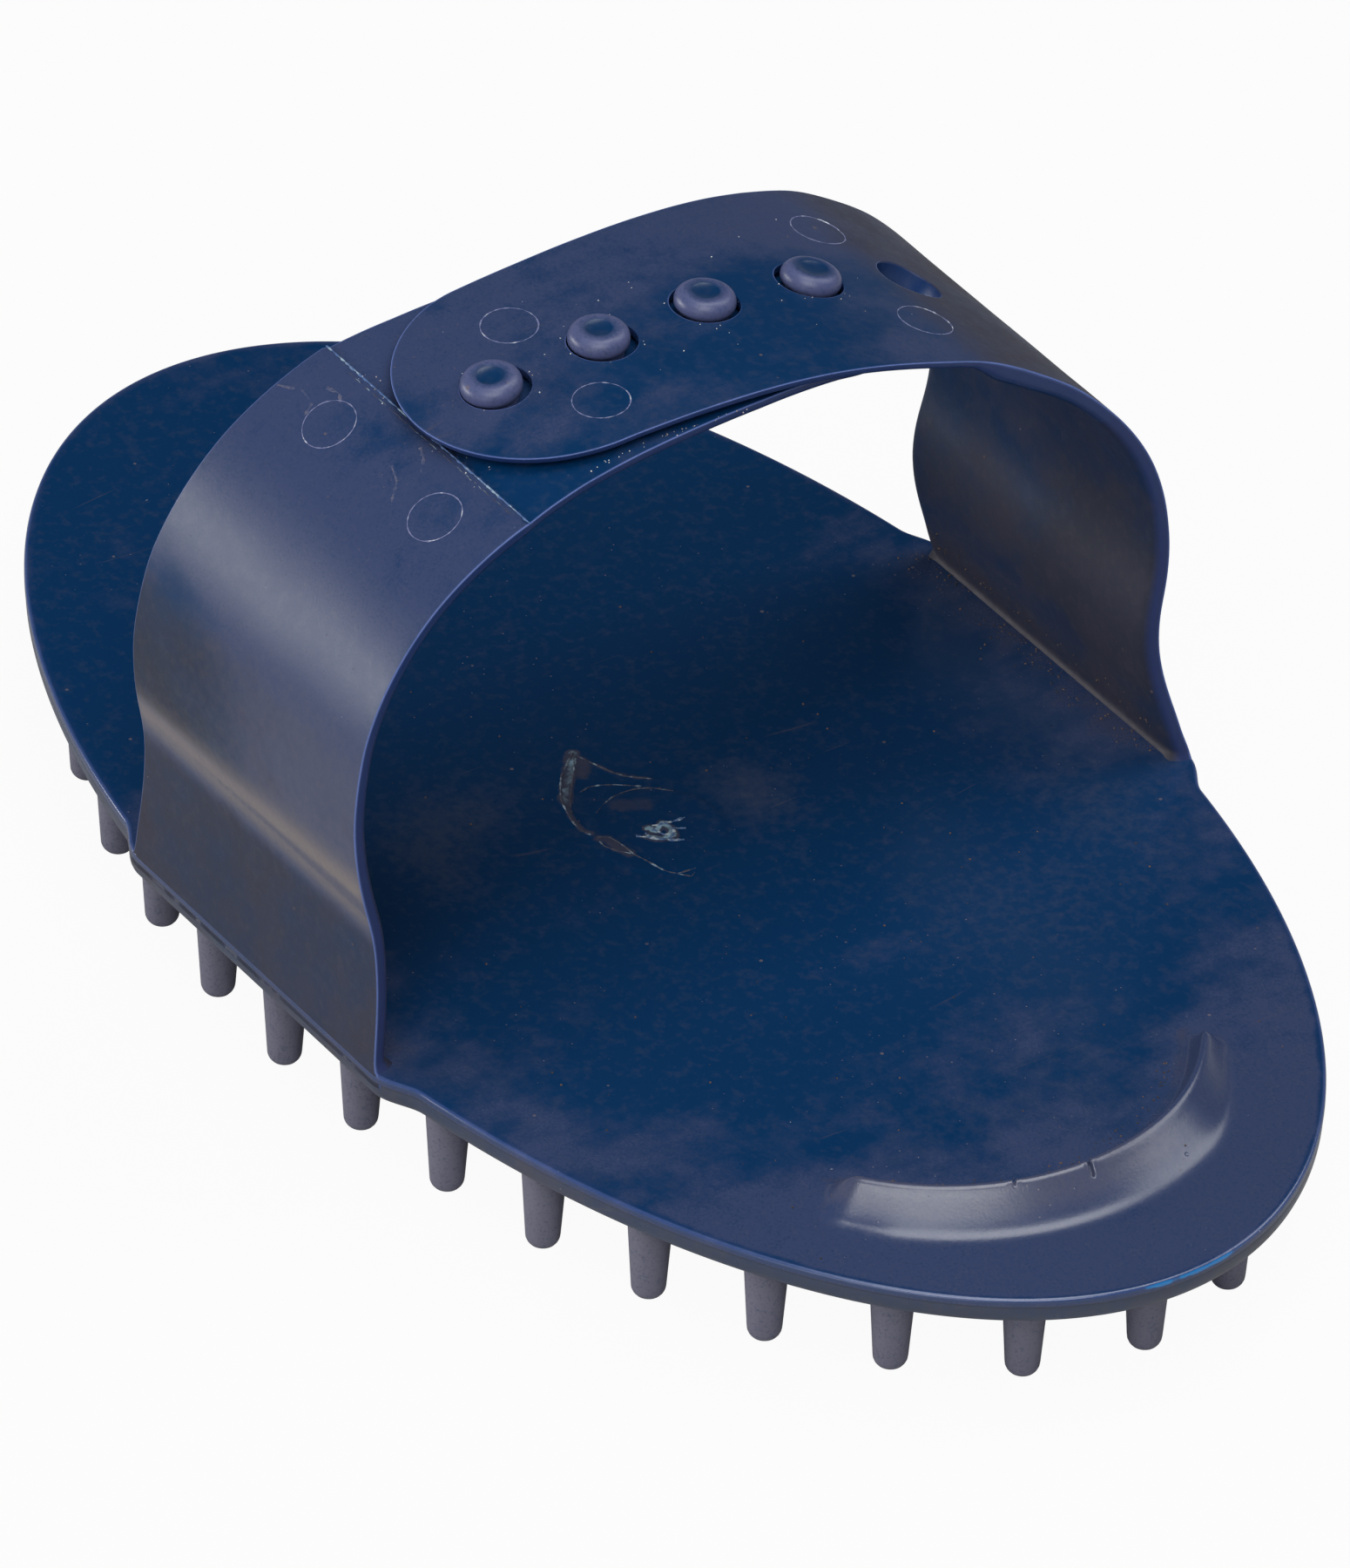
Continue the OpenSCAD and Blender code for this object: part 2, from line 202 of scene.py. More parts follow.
def newPiece(name, verts, faces, material, marks=None, cut=None):
    mesh = bpy.data.meshes.new(name)
    mesh.from_pydata((np.asarray(verts) * mm).tolist(), [], faces)
    for key, values in (marks or {}).items():
        layer = mesh.attributes.new(key, "FLOAT", "POINT")
        layer.data.foreach_set("value", np.asarray(values, np.float32))
    work = bmesh.new()
    work.from_mesh(mesh)
    bmesh.ops.recalc_face_normals(work, faces=work.faces[:])
    if cut is not None:  # the flat ends keep their own shading
        for line in work.edges:
            line.smooth = len({all(cut[v.index] for v in face.verts) for face in line.link_faces}) < 2
    work.to_mesh(mesh)
    work.free()
    mesh.polygons.foreach_set("use_smooth", [True] * len(mesh.polygons))
    mesh.materials.append(material)
    piece = bpy.data.objects.new(name, mesh)
    scene.collection.objects.link(piece)
    return piece


def lathe(profile, sides):
    # turns (radius, height) points round Z; a radius of 0 closes the end
    verts, faces, rows = [], [], []
    for radius, height in profile:
        if radius < 1e-6:
            rows.append([len(verts)] * sides)
            verts.append((0, 0, height))
        else:
            rows.append([len(verts) + i for i in range(sides)])
            verts += [(radius * math.cos(2 * math.pi * i / sides),
                       radius * math.sin(2 * math.pi * i / sides), height) for i in range(sides)]
    for low, high in zip(rows, rows[1:]):
        for i in range(sides):
            j = (i + 1) % sides
            face = [low[i], low[j], high[j], high[i]]
            faces.append([v for n, v in enumerate(face) if v not in face[:n]])
    return verts, faces


# nodes: one way to make a node, and values that can be written as sums

class Value:
    def __init__(self, net, socket):
        self.net = net
        self.socket = socket

    def maths(self, operation, *others):
        return self.net.make("ShaderNodeMath", {"operation": operation}, dict(enumerate((self, *others))))

    def __add__(self, other):
        return self.maths("ADD", other)

    def __sub__(self, other):
        return self.maths("SUBTRACT", other)

    def __rsub__(self, other):
        return self.net.make("ShaderNodeMath", {"operation": "SUBTRACT"}, {0: other, 1: self})

    def __mul__(self, other):
        return self.maths("MULTIPLY", other)

    def __abs__(self):
        return self.maths("ABSOLUTE")

    __radd__, __rmul__ = __add__, __mul__

    def clip(self):
        return self.net.make("ShaderNodeClamp", None, {0: self})

    def rise(self, low, high):
        return self.net.make("ShaderNodeMapRange", {"interpolation_type": "SMOOTHSTEP"},
                             {0: self, 1: low, 2: high})


class Net:
    def __init__(self, tree):
        self.tree = tree

    def make(self, kind, setup=None, links=None, out=0):
        node = self.tree.nodes.new(kind)
        for key, value in (setup or {}).items():
            setattr(node, key, value)
        for key, value in (links or {}).items():
            if isinstance(value, Value):
                self.tree.links.new(value.socket, node.inputs[key])
            else:
                node.inputs[key].default_value = value
        return Value(self, node.outputs[out]) if node.outputs else node

    def blend(self, share, low, high):
        return self.make("ShaderNodeMix", {"data_type": "RGBA"}, {0: share, 6: low, 7: high}, out=2)

    def mark(self, name):
        return self.make("ShaderNodeAttribute", {"attribute_name": name}, out="Fac")


def rgb(red, green, blue):
    return (red, green, blue, 1.0)


def newMaterial(name):
    material = bpy.data.materials.new(name)
    material.use_nodes = True
    material.node_tree.nodes.clear()
    return material, Net(material.node_tree)


# soft navy PVC: saturated blue where it is clean, lilac grey where a haze has bloomed,
# with dust, pale bruises and grime; in places the haze, bruise, edge and grime marks are painted highlight
# and painted shade

pvcTones = {
    "deep": rgb(0.0004, 0.0330, 0.1150),
    "grey": rgb(0.0415, 0.0625, 0.1500),
    # pale: the pins' lit tone, a painted highlight
    "pale": rgb(0.1850, 0.1830, 0.2550),
    "dust": rgb(0.1700, 0.1200, 0.1050),
    "lilac": rgb(0.0950, 0.1150, 0.2500),
    "grimeAndShade": rgb(0.0310, 0.0275, 0.0350),
    "edge": rgb(0.1350, 0.2050, 0.5200),
    "wall": rgb(0.0240, 0.0480, 0.1800),
    "bruiseAndHighlight": rgb(0.2900, 0.2450, 0.2200),
    "scar": rgb(0.3000, 0.4700, 0.5800),
    "film": rgb(0.0720, 0.0700, 0.1050),
    "scuff": rgb(0.0150, 0.2200, 0.5800),
    "hairline": rgb(0.0900, 0.0800, 0.1100),
    "crumb": rgb(0.6000, 0.6000, 0.5800),
}


def pvc(name, hazeAndPaintedLight, spread, dusty, rough, shine, hazeAndLightTone="grey"):
    material, net = newMaterial(name)
    spot = net.make("ShaderNodeTexCoord", out="Object")

    def grains(scale, detail=3.0, at=spot, roughness=0.55, twist=0.0):
        return net.make("ShaderNodeTexNoise", None, {
            "Vector": at, "Scale": scale, "Detail": detail, "Roughness": roughness, "Distortion": twist})

    def stretched(scale, turn):
        return net.make("ShaderNodeMapping", None, {"Vector": spot, "Rotation": turn, "Scale": scale})

    def specks(scale, size, share):
        cells = net.make("ShaderNodeTexVoronoi", None, {"Vector": spot, "Scale": scale}, out="Distance")
        luck = net.make("ShaderNodeSeparateColor", None, {
            0: net.make("ShaderNodeTexVoronoi", None, {"Vector": spot, "Scale": scale}, out="Color")})
        return (1 - cells.rise(size * 0.55, size)) * luck.rise(1 - share, 1 - share + 0.01)

    def hairlines(turn, stretch, scale, width, pickScale):
        lines = grains(scale, 1.0, stretched(stretch, turn), 0.4, 0.2)
        pick = grains(pickScale, 1.0).rise(0.60, 0.70)
        return (1 - abs(lines - 0.5).rise(0.0, width)) * pick

    broad = grains(30.0, 4.0)
    patches = grains(70.0, 5.0, stretched((1.0, 0.42, 1.0), (0, 0, 0.12)), 0.62)
    blots = grains(210.0, 4.0, spot, 0.65)
    fine = grains(900.0, 3.0)
    grit = grains(3200.0, 2.0)
    sand = grains(8200.0, 1.0)

    # haze is partly a real bloom and partly painted light: more haze paints a highlight, less haze paints
    # shade
    bloomAndLight = (hazeAndPaintedLight + net.mark("hazeAndPaintedLight") + (broad - 0.5) * spread + (patches - 0.5) * spread * 2.0
             + (blots - 0.5) * spread * 1.1)
    soft = bloomAndLight.rise(0.12, 0.90)
    mottle = (fine - 0.5) * 0.90 + (grit - 0.5) * 1.50 + (sand - 0.5) * 1.00
    hazeAndLightShare = (soft + mottle * (0.03 + 0.97 * soft)).clip()
    colour = net.blend(hazeAndLightShare, pvcTones["deep"], pvcTones[hazeAndLightTone])

    # random grime plus the grime marks, which in places paint shade: the lower rim, the ridge foot, the
    # strap's foot, lower arm and platform
    grimeAndShade = ((patches - 0.5) * 1.2 + net.mark("grimeAndShade") * 1.6 + (blots - 0.5) * 0.8
             + (grit - 0.5) * 0.5 - 0.40).clip()
    colour = net.blend(grimeAndShade * 0.80, colour, pvcTones["grimeAndShade"])
    lines = (hairlines((0, 0, 0.35), (1.0, 0.08, 1.0), 60.0, 0.0022, 90.0)
             + hairlines((0, 0, 1.9), (1.0, 0.07, 1.0), 55.0, 0.0018, 120.0)).clip()
    colour = net.blend(lines * 0.30, colour, pvcTones["hairline"])
    crowd = patches.rise(0.46, 0.62)
    dots = (specks(480.0, 0.11, 0.10 * dusty) + specks(1500.0, 0.15, 0.24 * dusty) * crowd
            + specks(210.0, 0.075, 0.10 * dusty)).clip()
    crumbs = (specks(260.0, 0.030, 0.10 * dusty) + specks(900.0, 0.065, 0.07 * dusty) * crowd).clip()
    colour = net.blend(dots * (0.20 + 0.6 * fine), colour, pvcTones["dust"])
    colour = net.blend(crumbs * 0.8, colour, pvcTones["crumb"])

    # pale bruises and dusty smears, plus painted highlights on the creases, the ridge slope, the lower arm
    # and the inner root
    bruiseAndHighlight = (net.mark("bruiseAndHighlight") * (0.70 + 0.4 * grit) - (fine - 0.5) * 0.20).clip()
    colour = net.blend(bruiseAndHighlight, colour, pvcTones["bruiseAndHighlight"])
    colour = net.blend(net.mark("wall") * 0.8, colour, pvcTones["wall"])
    # pale edge lines: the real flash, partly a painted highlight, and painted highlights on one side of the
    # hole rims
    edge = (net.mark("edge") * (0.50 + 0.8 * blots)).clip()
    colour = net.blend(edge, colour, pvcTones["edge"])
    torn = net.mark("scar") * (0.30 + 1.1 * blots) + (fine - 0.5) * 0.5 * net.mark("scar")
    colour = net.blend(torn.rise(0.10, 0.55) * 0.75, colour, pvcTones["film"])
    colour = net.blend(torn.rise(0.72, 1.05), colour, pvcTones["scar"])
    scuffed = (net.mark("scuff") * (0.4 + 1.1 * blots)).rise(0.40, 0.66)
    colour = net.blend(scuffed, colour, pvcTones["scuff"])

    dull = (rough + (broad - 0.5) * 0.08 + (fine - 0.5) * 0.08 + grimeAndShade * 0.20 + dots * 0.3
            + hazeAndLightShare * 0.03).clip()
    pits = specks(170.0, 0.045, 0.16)
    height = (sand * 0.006 + grit * 0.016 + fine * 0.016 - lines * 0.008 + dots * 0.03
              + crumbs * 0.06 - pits * 0.12)
    bumped = net.make("ShaderNodeBump", None, {"Strength": 0.5, "Distance": 0.001, "Height": height},
                      out="Normal")
    shader = net.make("ShaderNodeBsdfPrincipled", None, {
        "Base Color": colour, "Roughness": dull, "Normal": bumped, "Specular IOR Level": shine, "IOR": 1.5})
    net.make("ShaderNodeOutputMaterial", None, {"Surface": shader})
    return material


def mark(name, low, high, share, scale, rough):
    # a thin pale line of raised or torn plastic that varies along its length
    material, net = newMaterial(name)
    spot = net.make("ShaderNodeTexCoord", out="Object")
    grain = net.make("ShaderNodeTexNoise", None, {"Vector": spot, "Scale": scale, "Detail": 3.0})
    shader = net.make("ShaderNodeBsdfPrincipled", None, {
        "Base Color": net.blend(grain.rise(share - 0.08, share + 0.08), low, high), "Roughness": rough,
        "Specular IOR Level": 0.35})
    net.make("ShaderNodeOutputMaterial", None, {"Surface": shader})
    return material


padPvc = pvc("padPvc", hazeAndPaintedLight=0.00, spread=0.95, dusty=0.65, rough=0.21, shine=1.00)
strapPvc = pvc("strapPvc", hazeAndPaintedLight=0.60, spread=0.95, dusty=0.80, rough=0.35, shine=0.31)
studPvc = pvc("studPvc", hazeAndPaintedLight=1.05, spread=0.30, dusty=0.35, rough=0.34, shine=0.55, hazeAndLightTone="lilac")
# the pins take the pale tone: a lit copy of the PVC, a painted highlight
pinPvc = pvc("pinPvc", hazeAndPaintedLight=0.95, spread=0.45, dusty=0.50, rough=0.42, shine=0.50, hazeAndLightTone="pale")
ringMark = mark("ringMark", rgb(0.19, 0.21, 0.38), rgb(0.62, 0.65, 0.75), 0.60, 900.0, 0.4)
stepMark = mark("stepMark", rgb(0.09, 0.17, 0.38), rgb(0.36, 0.50, 0.62), 0.56, 700.0, 0.4)
wispMark = mark("wispMark", rgb(0.060, 0.080, 0.170), rgb(0.115, 0.120, 0.190), 0.50, 1500.0, 0.40)
rustMark = mark("rustMark", rgb(0.040, 0.036, 0.042), rgb(0.130, 0.085, 0.070), 0.50, 700.0, 0.7)
crumbMark = mark("crumbMark", rgb(0.42, 0.36, 0.32), rgb(0.80, 0.80, 0.78), 0.48, 500.0, 0.5)
filmMark = mark("filmMark", rgb(0.060, 0.062, 0.092), rgb(0.25, 0.34, 0.42), 0.60, 800.0, 0.5)
tornMark = mark("tornMark", rgb(0.08, 0.15, 0.30), rgb(0.48, 0.55, 0.58), 0.55, 1500.0, 0.4)
print("materials made:", len(bpy.data.materials))


# the oval pad with its finger ridge, rolled rim and the scar where it was fed

pad = {
    "length": 180.0, "width": 98.0, "thick": 3.2, "edgeRound": 1.4,
    "rootWidth": 42.0, "rootBlend": 5.5, "skew": 1.4, "grid": 1.7, "rimStep": 0.55, "sag": 0.10,
    # brown dusty smears: place, size along x and y, strength
    "smears": ((-8.5, -19.5, 5.0, 7.0, 0.085), (-2.0, -25.0, 6.0, 3.0, 0.060), (3.5, 8.5, 5.0, 3.5, 0.120),
               (24.0, 36.0, 9.0, 4.0, 0.045), (33.0, 22.0, 8.0, 12.0, 0.020), (60.0, 0.0, 6.0, 16.0, 0.018)),
    # blue scuffs on the rim: from and to in degrees, strength
    "scuffs": ((-7.5, 7.5, 1.0), (24.0, 29.0, 0.75), (-47, -45, 0.4), (118, 121, 0.5)),
}
ridge = {
    "x": 46.9, "radius": 26.5, "high": 2.8, "slope": 5.0, "wall": 1.5, "cap": 2.7, "half": 51.0, "bead": 0.12,
    "sharp": 5.4, "foot": 11, "peak": 0.82, "sink": 0.025,
    # turn in degrees, half width, depth and reach down the slope
    "nicks": ((-1.2, 0.16, 0.75, 1.7), (-18.5, 0.12, 0.34, 0.9)),
}
gate = {"x": 3.9, "y": -3.2, "disc": 7.15, "step": 0.08, "grid": 0.32,
        "middle": (0.2, -3.6), "reach": (13.5, 8.0)}
# torn film round the gate: points, half width, strength
gateFilm = (
    (((-11.4, -3.0), (-10.1, -4.1), (-8.4, -5.6), (-6.9, -6.9), (-5.1, -8.1)), 0.75, 0.90),
    (((-5.1, -8.1), (-3.3, -9.0), (-1.8, -9.3), (-0.2, -9.4), (0.8, -9.0)), 0.32, 0.75),
    (((-10.8, -3.1), (-9.0, -3.0), (-7.9, -4.3)), 0.85, 0.48),
    (((-8.7, -2.2), (-6.7, -1.5), (-5.4, -0.6), (-4.5, 0.2), (-3.6, 1.2)), 0.34, 0.45),
    (((-1.8, -4.2), (-1.0, -3.0), (-0.4, -1.8)), 1.30, 0.42),
    (((1.8, -8.8), (2.4, -8.2), (4.1, -8.2), (5.4, -7.6)), 0.75, 0.62),
    (((3.1, -3.8), (3.9, -3.5), (3.2, -2.2), (4.3, -1.9), (5.4, -2.3), (5.5, -3.0), (5.0, -4.0), (4.2, -4.6)),
     0.55, 1.15),
)
# thin raised lines of the same film
gateLines = (
    ((-11.4, -3.0), (-10.3, -4.4), (-8.8, -6.2), (-7.2, -7.4), (-5.3, -8.5), (-3.4, -9.1), (-1.8, -9.5),
     (-0.2, -9.6), (0.9, -9.2)),
    ((-11.3, -3.0), (-9.8, -3.9), (-8.2, -5.1), (-6.6, -6.4), (-5.0, -7.7), (-3.2, -8.7)),
    ((-10.8, -2.9), (-8.7, -2.2), (-6.7, -1.5), (-5.4, -0.8), (-4.5, 0.2), (-3.6, 1.2)),
    ((-5.6, -6.1), (-5.9, -4.9), (-5.5, -3.6), (-4.8, -2.4), (-4.0, -1.4), (-3.1, -0.3)),
    ((-1.8, -6.7), (-2.6, -5.4), (-3.2, -3.9), (-3.3, -2.4), (-3.1, -1.0), (-2.4, 0.4), (-1.3, 1.3),
     (-0.7, 1.9)),
    ((1.6, -8.9), (2.2, -7.8), (3.4, -7.6), (4.6, -7.4), (5.6, -7.5), (7.1, -7.0), (8.4, -6.7), (9.8, -6.4),
     (10.8, -5.5), (11.0, -3.5)),
    ((1.8, -9.1), (3.2, -9.1), (4.4, -8.6), (5.6, -7.6)),
    ((10.8, -5.5), (11.9, -4.6), (11.5, -3.9)),
)
gateTorn = (
    ((2.9, -3.2), (3.4, -2.5), (3.2, -1.9), (4.2, -1.6), (5.2, -2.0), (5.7, -2.9), (5.3, -3.9), (4.3, -4.7),
     (3.6, -4.4)),
    ((3.6, -3.6), (4.2, -3.2), (4.9, -3.0), (5.1, -2.4)), ((3.2, -2.0), (3.5, -1.1), (3.6, 0.3)),
    ((4.4, -1.6), (4.7, -1.3), (5.1, -0.6)), ((5.5, -3.4), (5.9, -3.1), (6.6, -1.8)),
    ((4.3, -4.7), (3.9, -5.1), (3.5, -5.5)),
)


def padSide(x, skew=0.0):
    half = pad["width"] / 2
    oval = half * np.sqrt(np.maximum(0, 1 - (x / (pad["length"] / 2)) ** 2))
    lift = ease((pad["rootWidth"] / 2 + pad["rootBlend"] - np.abs(x - skew)) / pad["rootBlend"])
    return oval + (half - oval) * lift


def ridgeHeight(p):
    dx, dy = p[:, 0] - ridge["x"], p[:, 1]
    r, a = np.hypot(dx, dy), np.arctan2(dy, dx)
    past = np.clip(np.abs(a) - math.radians(ridge["half"]), 0, math.pi / 2)
    run, across = r * np.sin(past), r * np.cos(past) - ridge["radius"]
    turn = np.degrees(a)
    slope = ridge["slope"] * (1 - 0.50 * ease((turn - 24) / 28)) * (1 - 0.12 * ease((-turn - 42) / 10))
    cap = 1.25 - np.hypot(run / ridge["cap"], np.maximum(across, 0) / slope)
    falls = np.stack([1 - across / slope, 1 + across / ridge["wall"], cap])
    # the lowest of the three with rounded corners, then a soft foot on the pad
    top = -np.log(np.exp(-ridge["sharp"] * falls).sum(0)) / ridge["sharp"]
    bare = np.log1p(np.exp(ridge["foot"] * top)) / ridge["foot"]
    high = bare / ridge["peak"] * ridge["high"] - ridge["sink"]
    high += ridge["bead"] * bell(across - 0.1, 0.8) * ease((3.0 - run) / 2)
    high = np.where(high < 0.02, 0, high)
    for at, wide, deep, reach in ridge["nicks"]:
        side = r * (a - math.radians(at)) + 0.25 * across
        cut = bell(side, wide) * ease((across + 0.9) / 0.4) * ease((reach - across) / 0.6)
        high -= deep * cut * (high > 0.3)
    return high, across, run, turn


def alongTear(p, points):
    best = np.full(len(p), 1e9)
    for start, end in zip(points, points[1:]):
        s, e = np.array(start), np.array(end)
        t = np.clip(((p - s) @ (e - s)) / ((e - s) @ (e - s)), 0, 1)
        best = np.minimum(best, np.hypot(*(p - s - t[:, None] * (e - s)).T))
    return best


def padFilm(flat):
    film = np.zeros(len(flat))
    ragged = clouds(flat, 0.8, 4.0)
    for tear, wide, strength in gateFilm:
        apart = alongTear(flat, tear) + 0.30 * wide * ragged
        film = np.maximum(film, strength * ease(1.4 - apart / wide))
    return film


def padHigh(flat):
    # how far the pad's upper face stands above or below its plane
    fromGate = np.hypot(flat[:, 0] - gate["x"], flat[:, 1] - gate["y"])
    sag = pad["sag"] * clouds(flat, 34.0, 2.0, 2) * ease((padSide(flat[:, 0]) - np.abs(flat[:, 1])) / 6)
    return sag + gate["step"] * ease((gate["disc"] - fromGate) / 0.5)


def padRim():
    # inset and depth from the crisp upper edge, over the parting step, to the rounded lower one
    bend, thick = pad["edgeRound"], pad["thick"]
    rim = [(1.1, 0), (0.42, 0), (0.20, -0.03), (0.06, -0.14), (0.0, -0.34), (0.0, -0.80), (0.02, -0.92),
           (0.13, -0.97), (0.10, -1.08), (0.05, -1.30)]
    return rim + [(bend - (bend - 0.05) * math.cos(t), -thick + bend * (1 - math.sin(t)))
                  for t in np.radians(range(15, 91, 15))]


def ridgeGrid():
    # finer points along the ridge, and finer still at its nicks
    hub, radius = (ridge["x"], 0), ridge["radius"]
    spans = np.r_[np.linspace(-3.4, -0.2, 14), np.linspace(0.0, 6.6, 18)]
    sweep = np.radians(np.arange(-64, 64.1, 1.0))
    along = np.concatenate([polar(hub, radius + s, sweep + (k % 2) * 0.009) for k, s in enumerate(spans)])
    atNicks = np.concatenate([
        polar(hub, radius + s, math.radians(at) + (np.arange(-0.6, 0.61, 0.08) - 0.25 * s) / radius)
        for at, _, _, reach in ridge["nicks"] for s in np.arange(-1.2, reach + 0.8, 0.18)])
    return np.concatenate([farFrom(along, atNicks, 0.2), atNicks])


def padMarks(points, ring, top, ridgeAt, scar):
    x, y = points[:, :2].T
    high, across, run, turn = ridgeAt
    atRidge = ease((run - 6) / -2.0) * bell(across + ridge["wall"] + 0.7, 0.9)
    # dirt and painted shade along the foot of the ridge's steep inner wall
    grimeAndShade = np.where(top, 0.40 * atRidge, 0)
    for side in (-1, 1):
        fromRoot = pad["width"] / 2 - 3.6 - side * y
        grimeAndShade += top * 0.30 * bell(fromRoot, 3.4) * ease((27 - np.abs(x)) / 6)
    # painted shade on the lower part of the rim's side wall and its rounded lower edge
    grimeAndShade += 0.60 * (ring >= 5)
    fromRim = padSide(x) * np.sqrt(np.maximum(0, 1 - (x / 90) ** 2) + 1e-6) - np.abs(y)
    hazeAndPaintedLight = 0.75 * ease((x + 0.15 * np.abs(y) - 50) / 30) + 0.45 * ease((14 - fromRim) / 14) * (x > -30)
    hazeAndPaintedLight += top * 0.9 * (high > 0.4) - 0.2 * bell(np.hypot(x + 5, y - 4), 30)
    smears = sum(strength * bell(x - atX, wide) * bell(y - atY, deep)
                 for atX, atY, wide, deep, strength in pad["smears"])
    angle = np.degrees(np.arctan2(y, x))
    scuff = sum(strength * near(angle, (start + end) / 2, (end - start) / 2 + 1.5)
                for start, end, strength in pad["scuffs"])
    rimNoise = clouds(np.c_[angle * 1.4, np.zeros(len(angle)), points[:, 2]], 2.6, 6.0)
    return {
        # the pale line on the rim's rounded top edge: partly flash, partly a painted highlight
        "hazeAndPaintedLight": np.where(top, hazeAndPaintedLight, 0.35), "grimeAndShade": grimeAndShade, "edge": np.isin(ring, (2, 3)) * 0.30,
        "wall": np.isin(ring, (3, 4, 5)) * 0.5 + np.isin(ring, (1, 2)) * 0.20,
        "scuff": scuff * np.isin(ring, (3, 4)) * np.clip(0.85 + 0.7 * rimNoise, 0, 1), "scar": scar,
        # dusty smears, and a painted highlight on the ridge slope
        "bruiseAndHighlight": top * (0.15 * ease((high - 0.5) / 1.4) * ease((30 - turn) / 25) + smears)}


def makePad():
    turn = np.radians(np.linspace(0, 360, 6001))
    x, side = pad["length"] / 2 * np.cos(turn), np.sign(np.sin(turn))
    loop = evenly(np.stack([x, side * padSide(x, pad["skew"] * (side > 0))], 1), pad["rimStep"])[0][:-1]
    inward = leftWays(np.roll(loop, -1, 0) - np.roll(loop, 1, 0))
    coarse = hexGrid((-92, -51), (92, 51), pad["grid"])
    middle, reach = np.array(gate["middle"]), np.array(gate["reach"])
    atGate = hexGrid(middle - reach, middle + reach, gate["grid"])
    atGate = atGate[np.hypot(*((atGate - middle) / reach).T) < 1]
    finer = np.concatenate([ridgeGrid(), atGate])
    spread = farFrom(coarse, finer, 1.0)
    points, faces, ring = plate([loop], [inward], [padRim()], np.concatenate([spread, finer]), coarse, 0.5)

    flat = points[:, :2]
    top = (points[:, 2] > -0.5) & (ring <= 0)
    ridgeAt = ridgeHeight(flat)
    scar = np.zeros(len(points))
    close = top & (np.hypot(*((flat - middle) / (reach + 0.5)).T) < 1)
    scar[close] = padFilm(flat[close])
    lift = np.where(top, ridgeAt[0], 0) + (ring <= 0) * padHigh(flat)
    lift[close] += scar[close] * (0.05 + 0.12 * clouds(flat[close], 0.6, 9.0))
    return newPiece("pad", np.c_[flat, points[:, 2] + padTop + lift], faces, padPvc,
                    padMarks(points, ring, top, ridgeAt, scar))


padPiece = makePad()
print("pad:", len(padPiece.data.polygons), "faces")


# the two straps: a side view line, a plan, a crisp outer edge and a rounded inner one

straps = {
    "thick": 1.7, "rootHalf": 21.5, "shoulderHalf": 18.3, "shoulderHigh": 47.8, "flare": 0.7, "fillet": 1.15,
    "below": -1.45, "row": 0.85, "across": 1.35, "wobble": 0.08,
    # inset and depth from the crisp outer edge to the rounded inner one
    "edge": ((0.75, 0), (0.22, 0), (0.10, 0.004), (0.05, 0.015), (0, 0.075), (0.01, 0.15), (0.03, 0.30),
             (0.07, 0.70), (0.13, 1.00), (0.32, 1.34), (0.70, 1.59), (1.30, 1.7)),
    "holeEdge": ((0.55, 0), (0.16, 0), (0.06, 0.012), (0, 0.07), (0, 0.20), (0, 0.55), (0, 1.10),
                 (0.04, 1.50), (0.18, 1.66), (0.45, 1.7)),
}
# outward distance and height of the outer face above the pad, from the foot to the free end
studSide = {
    "rise": ((48.86, 1.5), (48.75, 2.9), (48.48, 5.8), (48.28, 9.2), (48.3, 12.5), (48.42, 14.5),
             (48.66, 16.3), (49.15, 18.5), (49.66, 20.8), (50.02, 23.0), (50.28, 25.5), (50.4, 28.0),
             (50.25, 30.6), (49.72, 34.2)),
    "shoulder": (21.02, 27.98), "shoulderRound": 29.56, "turn": (19.0, 70.0),
    "crown": ((28.0, 56.9), (24.0, 57.5), (20.0, 58.05), (16.0, 58.4), (12.0, 58.55), (8.0, 58.6),
              (4.0, 58.58), (0.0, 58.45), (-4.0, 58.2), (-8.0, 57.75), (-12.0, 57.1), (-16.0, 56.2),
              (-20.0, 55.05), (-24.6, 53.4)),
    "halves": ((29.1, 17.55), (26.0, 17.14), (22.0, 16.66), (16.0, 16.2), (8.0, 15.7), (0.0, 15.2),
               (-10.4, 14.2)),
    "creaseHigh": 12.5, "evenOut": 3.4, "paleBandsHigh": 18.4, "stepOut": 29.1, "stepDeep": 0.25,
    "endHalf": 14.2,
}
